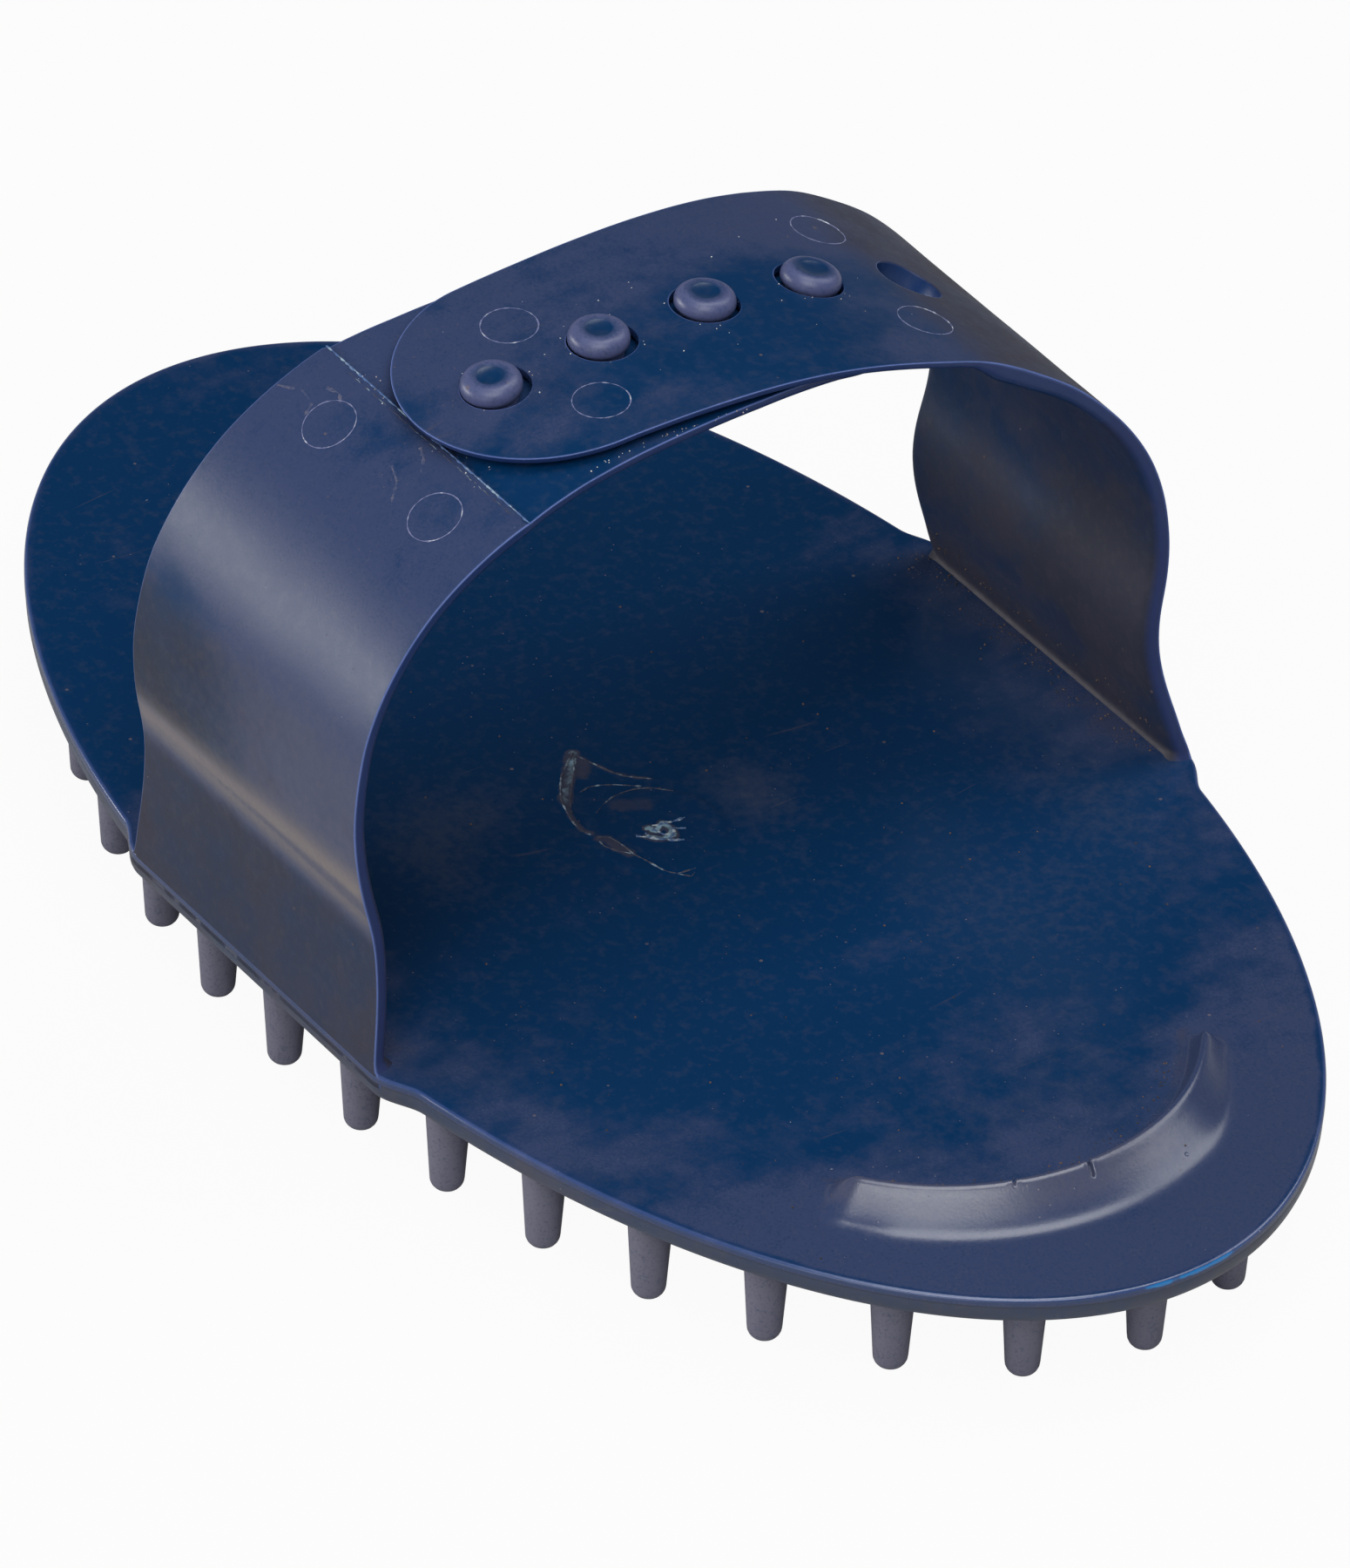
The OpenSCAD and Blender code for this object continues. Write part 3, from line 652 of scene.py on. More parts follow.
holeSide = {
    "rise": ((48.9, 0.8), (48.05, 2.6), (47.55, 5.0), (46.95, 7.2), (46.45, 9.4), (46.1, 11.6),
             (45.92, 13.75), (45.95, 15.8), (46.2, 17.8), (46.65, 19.7), (46.98, 21.6), (47.15, 23.6),
             (47.2, 25.7), (47.05, 27.8), (46.8, 30.0), (46.35, 32.1), (45.65, 34.4), (44.6, 36.85),
             (43.06, 39.5), (41.03, 42.3), (38.5, 45.1), (36.3, 47.3), (33.9, 49.2)),
    "crown": ((31.0, 51.2), (28.4, 52.9), (26.0, 54.25), (24.0, 55.0), (20.0, 56.3), (16.0, 57.45),
              (12.0, 58.35), (8.0, 59.0), (4.0, 59.45), (0.0, 59.7), (-4.0, 59.82), (-8.0, 59.82),
              (-12.0, 59.75), (-16.0, 59.6), (-20.0, 59.25), (-24.0, 58.7), (-28.0, 58.15), (-30.4, 57.75)),
    "halves": ((36.0, 18.3), (28.0, 17.9), (24.0, 17.6), (20.0, 17.4), (16.0, 17.05), (12.0, 16.64),
               (8.0, 16.25), (4.0, 15.93), (0.0, 15.66), (-4.0, 15.44), (-8.0, 15.22), (-15.5, 14.9)),
    "creaseHigh": 14.0, "evenOut": 1.8, "endHalf": 14.9, "seamHigh": 23.0,
    "thins": ((39.0, 1.0), (31.5, 1.32), (27.6, 1.32), (24.0, 0.62)),
    "holeHalf": 3.55, "slips": ((0.25, 0.32), (0.30, 0.20), (0.10, -0.06), (-0.02, -0.12), (0.0, 0.0)),
}
padHalf = pad["width"] / 2
studPlaces = [-21.5 + 12.47 * k for k in range(5)]  # the last is the free hole


class StrapLine:
    # the outer face from the side: distance along it gives the place and the outward direction
    def __init__(self, side):
        points = [(padHalf, straps["below"] - 1.5), (padHalf, 0), *side["rise"]]
        if "shoulder" in side:
            points += arcPoints(side["shoulder"], side["shoulderRound"], *side["turn"]).tolist()
        step = 0.1
        line, along = evenly(points + list(side["crown"]), step)
        share = ease((line[:, 1] - 49) / 6)[:, None]
        self.line = share * soften(line, side["evenOut"], step) + (1 - share) * soften(line, 1.1, step)
        self.out = -leftWays(np.gradient(self.line, axis=0))
        foot = along[np.argmin(np.abs(self.line[:200, 1]))]
        self.along = along - foot
        self.last = self.along[-1]
        self.side = side
        self.crease = self.ofHeight(side["creaseHigh"])

    def at(self, d):
        return (np.interp(d, self.along, self.line[:, 0]), np.interp(d, self.along, self.line[:, 1]),
                np.interp(d, self.along, self.out[:, 0]), np.interp(d, self.along, self.out[:, 1]))

    def ofOut(self, out):
        # how far along the upper part an outward distance is
        upper = self.line[:, 1] > 40
        return float(np.interp(-out, -self.line[upper, 0], self.along[upper]))

    def ofHeight(self, high):
        climb = np.argmax(self.line[:, 1])
        return float(np.interp(high, self.line[:climb, 1], self.along[:climb]))


def flareOut(high, r):
    # how far a round foot of radius r stands out at a height
    low = np.clip(r - high, 0, r)
    return r - np.sqrt(np.maximum(r * r - low * low, 0))


def armHalf(high):
    straight = (straps["rootHalf"]
                + (straps["shoulderHalf"] - straps["rootHalf"]) * high / straps["shoulderHigh"])
    return straight + flareOut(high, straps["flare"])


def strapLoop(halfAt, start, end, rounded):
    # an outline from a straight cut at the start to a round tip or a second cut,
    # with the way inwards at each point
    rows = np.linspace(start, end, int((end - start) / straps["row"]) + 1)
    right = np.stack([halfAt(rows), rows], 1)

    def cutLine(d, half, turn):
        x = np.linspace(-half, half, int(2 * half / straps["across"]) + 1)[1:-1] * turn
        return level(x, d), level(-x / half, 0.0)

    if rounded:
        tip = right[-1, 0]
        a = np.radians(np.linspace(0, 180, int(math.pi * tip / straps["row"])))[1:-1]
        loop = np.concatenate([right, polar((0, end), tip, a), right[::-1] * (-1, 1)])
        inward = leftWays(np.gradient(loop, axis=0))
    else:
        ways = leftWays(np.gradient(right, axis=0))
        ways[-1] = (-1, 0)
        cut, cutWays = cutLine(end, right[-1, 0], -1)
        loop = np.concatenate([right, cut, right[::-1] * (-1, 1)])
        inward = np.concatenate([ways, cutWays, ways[::-1] * (-1, 1)])
    inward[0], inward[-1] = (-1, 0), (1, 0)
    cut, cutWays = cutLine(start, right[0, 0], 1)
    return np.concatenate([loop, cut]), np.concatenate([inward, cutWays])


def strapRows(halfAt, start, end, extra=()):
    rows = np.unique(np.round(np.r_[np.arange(start + 0.3, end, straps["row"]), extra], 3))
    step, grid = straps["across"], []
    for k, (d, half) in enumerate(zip(rows, halfAt(rows) + 1)):
        grid.append(level(np.arange(-half + (k % 2) * step / 2, half, step), d))
    return np.concatenate(grid)


def placeStrap(line, points, sign):
    # bends a flat strap along its line; sign is -1 on the stud side and 1 on the hole side
    x, d, depth = points.T
    o, z, outO, outZ = line.at(d)
    thick, side = straps["thick"], line.side
    if "stepOut" in side:
        drop = side["stepDeep"] * ease((d - line.ofOut(side["stepOut"])) / 0.14)
        depth = depth * (thick - drop) / thick + drop
    else:
        outs, shares = np.array(side["thins"]).T
        depth = depth * np.interp(d, [line.ofOut(out) for out in outs], shares)
    depth = depth * (1 + flareOut(z, straps["fillet"]) / thick * (d < 20))
    shift = (padHalf - padSide(x)) * ease(1 - z / 6.0) * (d < 20)
    sway = straps["wobble"] * clouds(np.c_[x, d * 0.6 + 31 * sign], 13.0, 3.0 + sign, 2)
    sway *= ease((d - line.crease) / 12) * ease((line.ofHeight(52) - d) / 12)
    o = o - shift - (depth - sway) * outO
    z = z - (depth - sway) * outZ
    if sign > 0:
        x = x + pad["skew"] * ease(1 - d / line.crease)
    return np.stack([x, sign * o, z + padTop], 1)


def strapMarks(line, points, ring, sign, holes):
    x, d, depth = points.T
    o, z = line.at(d)[:2]
    y = sign * o
    atHole = ring >= perLoop
    k = np.where(ring < 0, -1, ring % perLoop)
    # a pale line along the crisp outer edge: the flash, partly a painted highlight
    edge = np.select([atHole, np.isin(k, (3, 4)), np.isin(k, (2, 5))], [0, 0.95, 0.35], 0.0)
    # hole rims lighter on the side facing one way: a painted highlight
    for cx, cd in holes:
        way = np.stack([x - cx, d - cd], 1)
        apart = np.hypot(*way.T)
        facing = ease(0.45 + 0.75 * (way @ (0.62, 0.78)) / np.maximum(apart, 1e-6))
        edge = np.where(atHole & (apart < 4.5) & np.isin(k, (2, 3)), 0.75 * facing, edge)
    wall = np.where(atHole, 0.5 * (k > 2), np.isin(k, (5, 6, 7, 8)) * 0.9 + (k == 9) * 0.45)
    outer = ((k <= 3) & (depth < 0.5)) * 1.0
    inner = 1 - outer
    if sign < 0:
        # two pale lines that part towards the near edge, above the crease: stress whitening with a painted
        # highlight
        share = np.clip((x + 20) / 40, 0, 1)
        middle = line.ofHeight(line.side["paleBandsHigh"]) + 1.15 * share
        apart = 0.10 + 1.30 * share
        up, down = d - middle - apart, middle - apart - d
        bruiseAndHighlight = np.maximum(0.72 * bell(up, np.where(up > 0, 2.6, 0.75)),
                            0.58 * bell(down, np.where(down > 0, 1.7, 0.65)))
        bruiseAndHighlight = np.maximum(bruiseAndHighlight, 0.30 * (np.abs(d - middle) < apart))
        bruiseAndHighlight *= outer * ease((22.5 - np.abs(x)) / 3.5)
        fromStep = d - line.ofOut(line.side["stepOut"])
        onPlatform = ease(fromStep / 0.3)
        # painted light on the arm between heights 19 and 41: a highlight towards the near edge, shade towards
        # the far edge
        lower, nearer = ease((41 - z) / 9) * ease((z - 19) / 3), ease((x + 15) / 26)
        bruiseAndHighlight += outer * 0.15 * lower * nearer
        # less haze paints shade on the platform towards the near edge, on the foot and where the tongue tip's
        # shadow falls
        hazeAndPaintedLight = outer * (0.24 - onPlatform * 0.70 * ease((x + 8) / 8) - (0.72 - 0.95 * nearer) * lower
                        - 0.40 * ease((17.5 - z) / 4) - 0.5 * bell(x + 1, 6.5) * bell(o - 32.3, 2.6))
        # more grime paints shade on the platform, the lower arm and the foot; the line along the step is real
        # grime
        grimeAndShade = outer * (0.12 * onPlatform + (0.74 - 0.48 * nearer) * lower + 0.68 * ease((18 - z) / 4)
                         + 0.30 * bell(fromStep, 1.2) * ease((9 - np.abs(x)) / 6))
    else:
        bruiseAndHighlight = 0.16 * bell(d - line.crease, 2.4) * outer
        hazeAndPaintedLight = outer * np.where(z > 45, -0.30 + 0.36 * ease((2 - x) / 14) + 0.25 * ease((y - 8) / 14), 0.2)
        hazeAndPaintedLight += outer * 0.25 * bell(x - 2, 9) * bell(y + 24, 7)
        # darker on the strap's upper part towards its +y end
        grimeAndShade = outer * 0.72 * ease((y - 18) / 12) * (z > 30)
    hazeAndPaintedLight -= inner * 0.28
    # darker on the inner faces of the lower loop, most at the root fillet and towards the near edge
    innerDarkening = (0.58 + 0.20 * bell(z - 3.0, 2.4) + 0.40 * bell(z - 0.7, 0.7) + 0.20 * bell(z - 13, 6.0)
              + 0.42 * ease((x + 4) / 16) * bell(z - 20, 12.0))
    grimeAndShade += inner * innerDarkening * (d < 45)
    # a pale line along the inner root fillet: a painted highlight
    bruiseAndHighlight += inner * 0.14 * bell(z - 0.7, 0.4) * (d < 20)
    clean = np.zeros(len(x))
    return {"edge": edge, "wall": wall, "bruiseAndHighlight": bruiseAndHighlight, "grimeAndShade": grimeAndShade, "hazeAndPaintedLight": hazeAndPaintedLight,
            "scar": clean, "scuff": clean}


def buildStrap(name, line, sign, halfAt, start, end, rounded, holes, extra, cuts=()):
    loop, inward = strapLoop(halfAt, start, end, rounded)
    loops, inwards, profiles = [loop], [inward], [straps["edge"]]
    for centre in holes:
        ways = polar((0, 0), 1, np.radians(np.linspace(360, 0, 61)[:-1]))
        loops.append(centre + holeSide["holeHalf"] * ways)
        inwards.append(ways)
        profiles.append(straps["holeEdge"])
    reach = end + (halfAt(np.array([end]))[0] if rounded else 0)
    inner = strapRows(halfAt, start, reach, extra)
    points, faces, ring = plate(loops, inwards, profiles, inner, inner, 0.45)
    marks = strapMarks(line, points, ring, sign, holes)
    cut = np.zeros(len(points), bool)
    for d in cuts:
        cut |= np.abs(points[:, 1] - d) < 1e-4
    return newPiece(name, placeStrap(line, points, sign), faces, strapPvc, marks, cut)


def endHalf(line, wideAt):
    # half the width of a strap, with its free end taken from the side's own list
    outs, halves = np.array(line.side["halves"]).T
    tip = line.last - line.side["endHalf"]

    def half(d):
        o, z = line.at(np.minimum(d, tip))[:2]
        return np.where(d > wideAt, np.interp(-o, -outs, halves), armHalf(z))
    return half, tip


studLine, holeLine = StrapLine(studSide), StrapLine(holeSide)
stepAt = studLine.ofOut(studSide["stepOut"])
studHalf, studTip = endHalf(studLine, stepAt)
holeHalf, holeTip = endHalf(holeLine, holeLine.ofOut(36.0))
studStrap = buildStrap("studStrap", studLine, -1, studHalf, straps["below"], studTip, True, (), np.r_[
    stepAt + np.array([-0.25, -0.06, 0.0, 0.05, 0.10, 0.15, 0.3]),
    studLine.ofHeight(18.5) + np.arange(-6, 6.1, 0.42)])


def studSpot(y):
    # a stud's place on the platform and the way it leans
    o, z, outO, outZ = studLine.at(studLine.ofOut(-y))
    return (0.0, -float(o), float(z)), (-float(outO), float(outZ))


def holeSpot(y, slip):
    wayY = studSpot(y)[1][0] if y < 24 else 0.0
    return slip[0], holeLine.ofOut(y + 1.2 * wayY + slip[1])


holePlaces = [holeSpot(y, slip) for y, slip in zip(studPlaces, holeSide["slips"])]
seam = holeLine.ofHeight(holeSide["seamHigh"])
holeFoot = buildStrap("holeStrapFoot", holeLine, 1, holeHalf, straps["below"], seam, False, (), np.r_[
    seam - 0.12, seam - 0.3, holeLine.crease + np.arange(-5, 5.1, 0.42)], (seam,))
tongue = buildStrap("tongueSheet", holeLine, 1, holeHalf, seam, holeTip, True, holePlaces,
                    (seam + 0.12, seam + 0.3), (seam,))
print("straps:", [(p.name, len(p.data.polygons)) for p in (studStrap, holeFoot, tongue)])


# what repeats: pins, studs and thin raised lines from geometry nodes

def growTree(name, inputs):
    tree = bpy.data.node_groups.new(name, "GeometryNodeTree")
    tree.interface.new_socket("Geometry", in_out="INPUT", socket_type="NodeSocketGeometry")
    tree.interface.new_socket("Geometry", in_out="OUTPUT", socket_type="NodeSocketGeometry")
    sockets = {
        label: tree.interface.new_socket(label, in_out="INPUT", socket_type="NodeSocket" + kind).identifier
        for label, kind in inputs.items()}
    net = Net(tree)
    source = tree.nodes.new("NodeGroupInput")
    given = {item.name: Value(net, item) for item in source.outputs if item.name}
    return tree, net, given, sockets


def closeTree(net, shape, material):
    real = net.make("GeometryNodeRealizeInstances", None, {0: shape})
    dressed = net.make("GeometryNodeSetMaterial", None, {"Geometry": real, "Material": material})
    net.make("NodeGroupOutput", None, {0: dressed})


def scatter(net, points, given, **more):
    # one copy of the given shape on each point
    shape = net.make("GeometryNodeObjectInfo", None, {"Object": given["shape"]}, out="Geometry")
    copies = net.make("GeometryNodeInstanceOnPoints", None, {"Points": points, "Instance": shape, **more})
    closeTree(net, copies, given["finish"])


def runTree(name, tree, sockets, values, points=((0, 0, 0),), edges=(), marks=None):
    mesh = bpy.data.meshes.new(name)
    mesh.from_pydata([tuple(np.array(p) * mm) for p in points], edges, [])
    for key, numbers in (marks or {}).items():
        mesh.attributes.new(key, "FLOAT", "POINT").data.foreach_set("value", numbers)
    piece = bpy.data.objects.new(name, mesh)
    scene.collection.objects.link(piece)
    grow = piece.modifiers.new("grow", "NODES")
    grow.node_group = tree
    for label, value in values.items():
        grow[sockets[label]] = value
    bpy.context.view_layer.update()
    done = bpy.data.meshes.new_from_object(piece.evaluated_get(bpy.context.evaluated_depsgraph_get()))
    piece.modifiers.clear()
    piece.data = done
    done.name = name
    done.polygons.foreach_set("use_smooth", [True] * len(done.polygons))
    return piece


def joinPieces(pieces, name):
    work = bmesh.new()
    for piece in pieces:
        work.from_mesh(piece.data)
    mesh = bpy.data.meshes.new(name)
    bmesh.ops.recalc_face_normals(work, faces=work.faces[:])
    work.to_mesh(mesh)
    work.free()
    first = pieces[0].data
    mesh.materials.append(first.materials[first.polygons[0].material_index])
    mesh.polygons.foreach_set("material_index", [0] * len(mesh.polygons))
    mesh.polygons.foreach_set("use_smooth", [True] * len(mesh.polygons))
    for piece in pieces:
        bpy.data.objects.remove(piece)
    joined = bpy.data.objects.new(name, mesh)
    scene.collection.objects.link(joined)
    return joined


def hiddenShape(name, profile, sides, material, hazeAndShadeAt=None):
    verts, faces = lathe(profile, sides)
    across, high = np.hypot(*np.array(verts)[:, :2].T), np.array(verts)[:, 2]
    piece = newPiece(name, verts, faces, material, hazeAndShadeAt and {"hazeAndPaintedLight": hazeAndShadeAt(across, high)})
    scene.collection.objects.unlink(piece)
    return piece


pins = {
    "long": 10.6, "root": 2.3, "tip": 1.75, "tipRound": 1.35, "fillet": 0.55, "sides": 28,
    "edgeEnd": 7.0, "edgeSide": 3.9, "ringStep": 11.8, "pitch": 12.9,
    "rings": 4, "counts": (32, 26, 21, 16), "row": 7,
}


def pinProfile():
    bend, tip, length, root, fillet = (pins[key] for key in ("tipRound", "tip", "long", "root", "fillet"))
    points = [(0, 0), ((tip - bend) * 0.6, 0), *corner((tip - bend, bend), bend, range(-90, 1, 15))]
    points += [(tip + (root - tip) * k / 6, bend + (length - fillet - bend) * k / 6) for k in range(1, 7)]
    points += corner((root + fillet, length - fillet), fillet, (155, 130, 105, 90))
    return points + [(root, length + 0.4), (0, length + 0.4)]


def pinRingTree():
    tree, net, given, sockets = growTree("pinRing", {
        "semiLength": "Float", "semiWidth": "Float", "count": "Int", "shape": "Object", "finish": "Material"})
    circle = net.make("GeometryNodeCurvePrimitiveCircle", {"mode": "RADIUS"},
                      {"Resolution": 360, "Radius": 1.0})
    size = net.make("ShaderNodeCombineXYZ", None, {0: given["semiLength"], 1: given["semiWidth"], 2: 1.0})
    oval = net.make("GeometryNodeTransform", None, {"Geometry": circle, "Scale": size})
    spaced = net.make("GeometryNodeResampleCurve", None, {"Curve": oval, "Count": given["count"]})
    scatter(net, net.make("GeometryNodeCurveToPoints", {"mode": "EVALUATED"}, {0: spaced}), given)
    return tree, sockets


def pinRowTree():
    tree, net, given, sockets = growTree("pinRow", {
        "count": "Int", "pitch": "Float", "shape": "Object", "finish": "Material"})
    reach = (given["count"] - 1) * given["pitch"] * -0.5
    scatter(net, net.make("GeometryNodeMeshLine", {"mode": "OFFSET"}, {
        "Count": given["count"],
        "Start Location": net.make("ShaderNodeCombineXYZ", None, {0: reach}),
        "Offset": net.make("ShaderNodeCombineXYZ", None, {0: given["pitch"]})}), given)
    return tree, sockets


pinShape = hiddenShape("pinShape", pinProfile(), pins["sides"], pinPvc)
ringTree, ringSockets = pinRingTree()
rowTree, rowSockets = pinRowTree()
pinSets = []
for k, count in enumerate(pins["counts"]):
    pinSets.append(runTree("pinRing%d" % k, ringTree, ringSockets, {
        "semiLength": (pad["length"] / 2 - pins["edgeEnd"] - k * pins["ringStep"]) * mm,
        "semiWidth": (pad["width"] / 2 - pins["edgeSide"]) * (1 - k / pins["rings"]) * mm,
        "count": count, "shape": pinShape, "finish": pinPvc}))
pinSets.append(runTree("pinRow", rowTree, rowSockets, {
    "count": pins["row"], "pitch": pins["pitch"] * mm, "shape": pinShape, "finish": pinPvc}))
pinPiece = joinPieces(pinSets, "pins")
print("pins:", len(pinPiece.data.polygons), "faces")

studs = {"neck": 2.4, "head": 3.1, "from": 0.80, "top": 2.95, "lowRound": 0.75, "topRound": 1.15,
         "dimple": 1.5, "dimpleDeep": 0.24, "count": 4, "sides": 56}


def studProfile():
    start, top, head, neck = (studs[key] for key in ("from", "top", "head", "neck"))
    low, up, dip, deep = (studs[key] for key in ("lowRound", "topRound", "dimple", "dimpleDeep"))
    points = [(0, -0.45), (neck + 0.3, -0.45), (neck + 0.12, 0.10), (neck, 0.4), (neck, start)]
    points += corner((head - low, start + low), low, (-80, -62, -44, -26, -8))
    points += [(head + 0.02, (start + low + top - up) / 2)]
    points += corner((head - up, top - up), up, range(4, 85, 10))
    points += [(dip * s, top - deep * (1 - s ** 3)) for s in (0.98, 0.92, 0.82, 0.7, 0.55, 0.38, 0.2)]
    return points + [(0, top - deep)]


def studShade(across, high):
    # deeper blue on top, in the dimple and at the neck: painted shade
    dimple = ease((studs["dimple"] + 0.25 - across) / 0.9) * (high > 1.5)
    return -0.45 * ease((2.75 - across) / 0.9) * (high > 2.0) - 0.95 * dimple - 0.5 * ease((1.2 - high) / 0.6)


def studTree():
    tree, net, given, sockets = growTree("studRow", {"shape": "Object", "finish": "Material"})
    lean = net.make("GeometryNodeInputNamedAttribute", {"data_type": "FLOAT"}, {"Name": "lean"})
    scatter(net, given["Geometry"], given, Rotation=net.make("ShaderNodeCombineXYZ", None, {0: lean}))
    return tree, sockets


studShape = hiddenShape("studShape", studProfile(), studs["sides"], studPvc, studShade)
studNodes, studSockets = studTree()
spots = [studSpot(y) for y in studPlaces[:studs["count"]]]
sunk = studSide["stepDeep"]
studPiece = joinPieces([runTree(
    "studRow", studNodes, studSockets, {"shape": studShape, "finish": studPvc},
    [(x, y - sunk * wayY, z + padTop - sunk * wayZ) for (x, y, z), (wayY, wayZ) in spots], (),
    {"lean": [-math.atan2(wayY, wayZ) for _, (wayY, wayZ) in spots]})], "studs")
print("studs:", len(studPiece.data.polygons), "faces")

# thin raised lines: ejector rings, the flash along the step, the film round the gate
threads = {
    "ringRadius": 2.87, "ring": 0.068, "step": 0.105, "stepFaint": 0.045,
    "film": 0.075, "torn": 0.13, "wisp": 0.16,
    "tongueRings": ((-6.9, -14.9), (8.4, -14.5), (-9.35, 23.8), (9.15, 23.7)),
    "armRings": ((-9.1, 34.5), (9.3, 34.5)),
    # faint scuffs on the arm, from the line through the rings
    "wisps": (((-17.6, -0.5), (-14.9, 0.8), (-12.6, 0.4), (-12.1, -0.9)),
              ((0.5, 1.0), (2.5, 0.2), (4.1, -1.7)),
              ((1.0, 4.3), (2.6, 3.6), (3.7, 2.4)),
              ((-13.0, 2.6), (-11.4, 3.0), (-10.3, 2.4))),
}


def threadTree():
    tree, net, given, sockets = growTree("threads", {
        **dict.fromkeys(("spacing", "thin", "ragged", "grain", "seed"), "Float"), "finish": "Material"})
    curve = net.make("GeometryNodeMeshToCurve", None, {0: given["Geometry"]})
    fine = net.make("GeometryNodeResampleCurve", {"mode": "LENGTH"},
                    {"Curve": curve, "Length": given["spacing"]})
    uneven = net.make("ShaderNodeTexNoise", {"noise_dimensions": "4D"}, {
        "Scale": given["grain"], "Detail": 2.0, "W": given["seed"]})
    wide = ((uneven.rise(0.34, 0.68) - 0.5) * given["ragged"] + 1) * given["thin"]
    sized = net.make("GeometryNodeSetCurveRadius", None, {"Curve": fine, "Radius": wide})
    section = net.make("GeometryNodeCurvePrimitiveCircle", {"mode": "RADIUS"},
                       {"Resolution": 6, "Radius": 1.0})
    thread = net.make("GeometryNodeCurveToMesh", None, {
        "Curve": sized, "Profile Curve": section, "Scale": net.make("GeometryNodeInputRadius")})
    closeTree(net, thread, given["finish"])
    return tree, sockets


threadNodes, threadSockets = threadTree()


def layThreads(name, lines, thin, ragged, seed, finish, place, closed=False):
    # lines are drawn flat, then place(x, along, height) lays them on a surface
    points, edges = [], []
    for line in lines:
        start = len(points)
        points += [(p[0], p[1], 0.0) for p in line]
        edges += [(start + i, start + i + 1) for i in range(len(line) - 1)]
        if closed:
            edges.append((len(points) - 1, start))
    piece = runTree(name, threadNodes, threadSockets, {
        "spacing": 0.12 * mm, "thin": thin * mm, "ragged": ragged, "grain": 1400.0, "seed": seed,
        "finish": finish}, points, edges)
    flat = np.empty(3 * len(piece.data.vertices), np.float32)
    piece.data.vertices.foreach_get("co", flat)
    laid = place(flat.reshape(-1, 3).astype(float) / mm) * mm
    piece.data.vertices.foreach_set("co", laid.astype(np.float32).ravel())
    piece.data.update()
    return piece


def smoothLine(points, count=60):
    # a flowing line through a few points
    p = np.asarray(points, float)
    t = np.r_[0, np.cumsum(np.hypot(*np.diff(p, axis=0).T))]
    at = np.linspace(0, t[-1], count)
    line = np.stack([np.interp(at, t, p[:, k]) for k in (0, 1)], 1)
    for _ in range(count // 8):
        line[1:-1] = 0.25 * line[:-2] + 0.5 * line[1:-1] + 0.25 * line[2:]
    return line


def onStrap(line, sign):
    return lambda p: placeStrap(line, np.c_[p[:, 0], p[:, 1], -p[:, 2] + 0.02], sign)


def onPad(p):
    film = padFilm(p[:, :2])
    return np.c_[p[:, :2], p[:, 2] * 0.8 + padTop + padHigh(p[:, :2]) + 0.06 * film]


def rings(line, places):
    turn = np.linspace(0, 2 * math.pi, 73)[:-1]
    return [polar((x, line.ofOut(out)), threads["ringRadius"], turn) for x, out in places]


def flatWisp(p):
    return placeStrap(studLine, np.c_[p[:, 0], p[:, 1], -0.10 * p[:, 2] + 0.006], -1)


onTongueTop, onArm = onStrap(holeLine, 1), onStrap(studLine, -1)
tongueRings = layThreads("tongueRings", rings(holeLine, threads["tongueRings"]), threads["ring"],
                         ragged=1.1, seed=1.0, finish=ringMark, place=onTongueTop, closed=True)
armRings = layThreads("armRings", rings(studLine, threads["armRings"]), threads["ring"],
                      ragged=1.1, seed=5.0, finish=ringMark, place=onArm, closed=True)
across = np.linspace(-17.6, 17.6, 160)
jitter = 0.05 * clouds(np.c_[across, across * 0], 0.8, 3.0)
stepLine = layThreads("stepLine", [np.stack([across, stepAt - 0.02 + jitter], 1)],
                      threads["step"], ragged=1.5, seed=3.0, finish=stepMark, place=onArm)
stepFaint = layThreads("stepFaint", [np.stack([across, stepAt - 0.62 + 2 * jitter], 1)[20:150]],
                       threads["stepFaint"], ragged=1.6, seed=9.0, finish=filmMark, place=onArm)
wisps = layThreads("wisps",
                   [smoothLine(np.array(line) + (0, studLine.ofOut(34.5)), 40) for line in threads["wisps"]],
                   threads["wisp"], ragged=1.5, seed=6.0, finish=wispMark, place=flatWisp)
gateEdges = layThreads("gateEdges", [smoothLine(line) for line in gateLines],
                       threads["film"], ragged=1.5, seed=2.0, finish=filmMark, place=onPad)
gateTears = layThreads("gateTears", [smoothLine(line, 40) for line in gateTorn],
                       threads["torn"], ragged=1.4, seed=4.0, finish=tornMark, place=onPad)
thinLines = (tongueRings, armRings, stepLine, stepFaint, wisps, gateEdges, gateTears)
print("thin lines:", sum(len(p.data.polygons) for p in thinLines), "faces")

# pale crumbs in the groove under the tongue, round the studs and along the step, brown ones on the pad
crumbs = {"small": 0.35, "large": 1.15, "round": 0.075, "seed": 11}


def crumbTree():
    tree, net, given, sockets = growTree("crumbs", {
        "shape": "Object", "small": "Float", "large": "Float", "seed": "Int", "finish": "Material"})
    size = net.make("FunctionNodeRandomValue", {"data_type": "FLOAT"}, {
        2: given["small"], 3: given["large"], 8: given["seed"]}, out=1)
    scatter(net, given["Geometry"], given, Scale=size)
    return tree, sockets


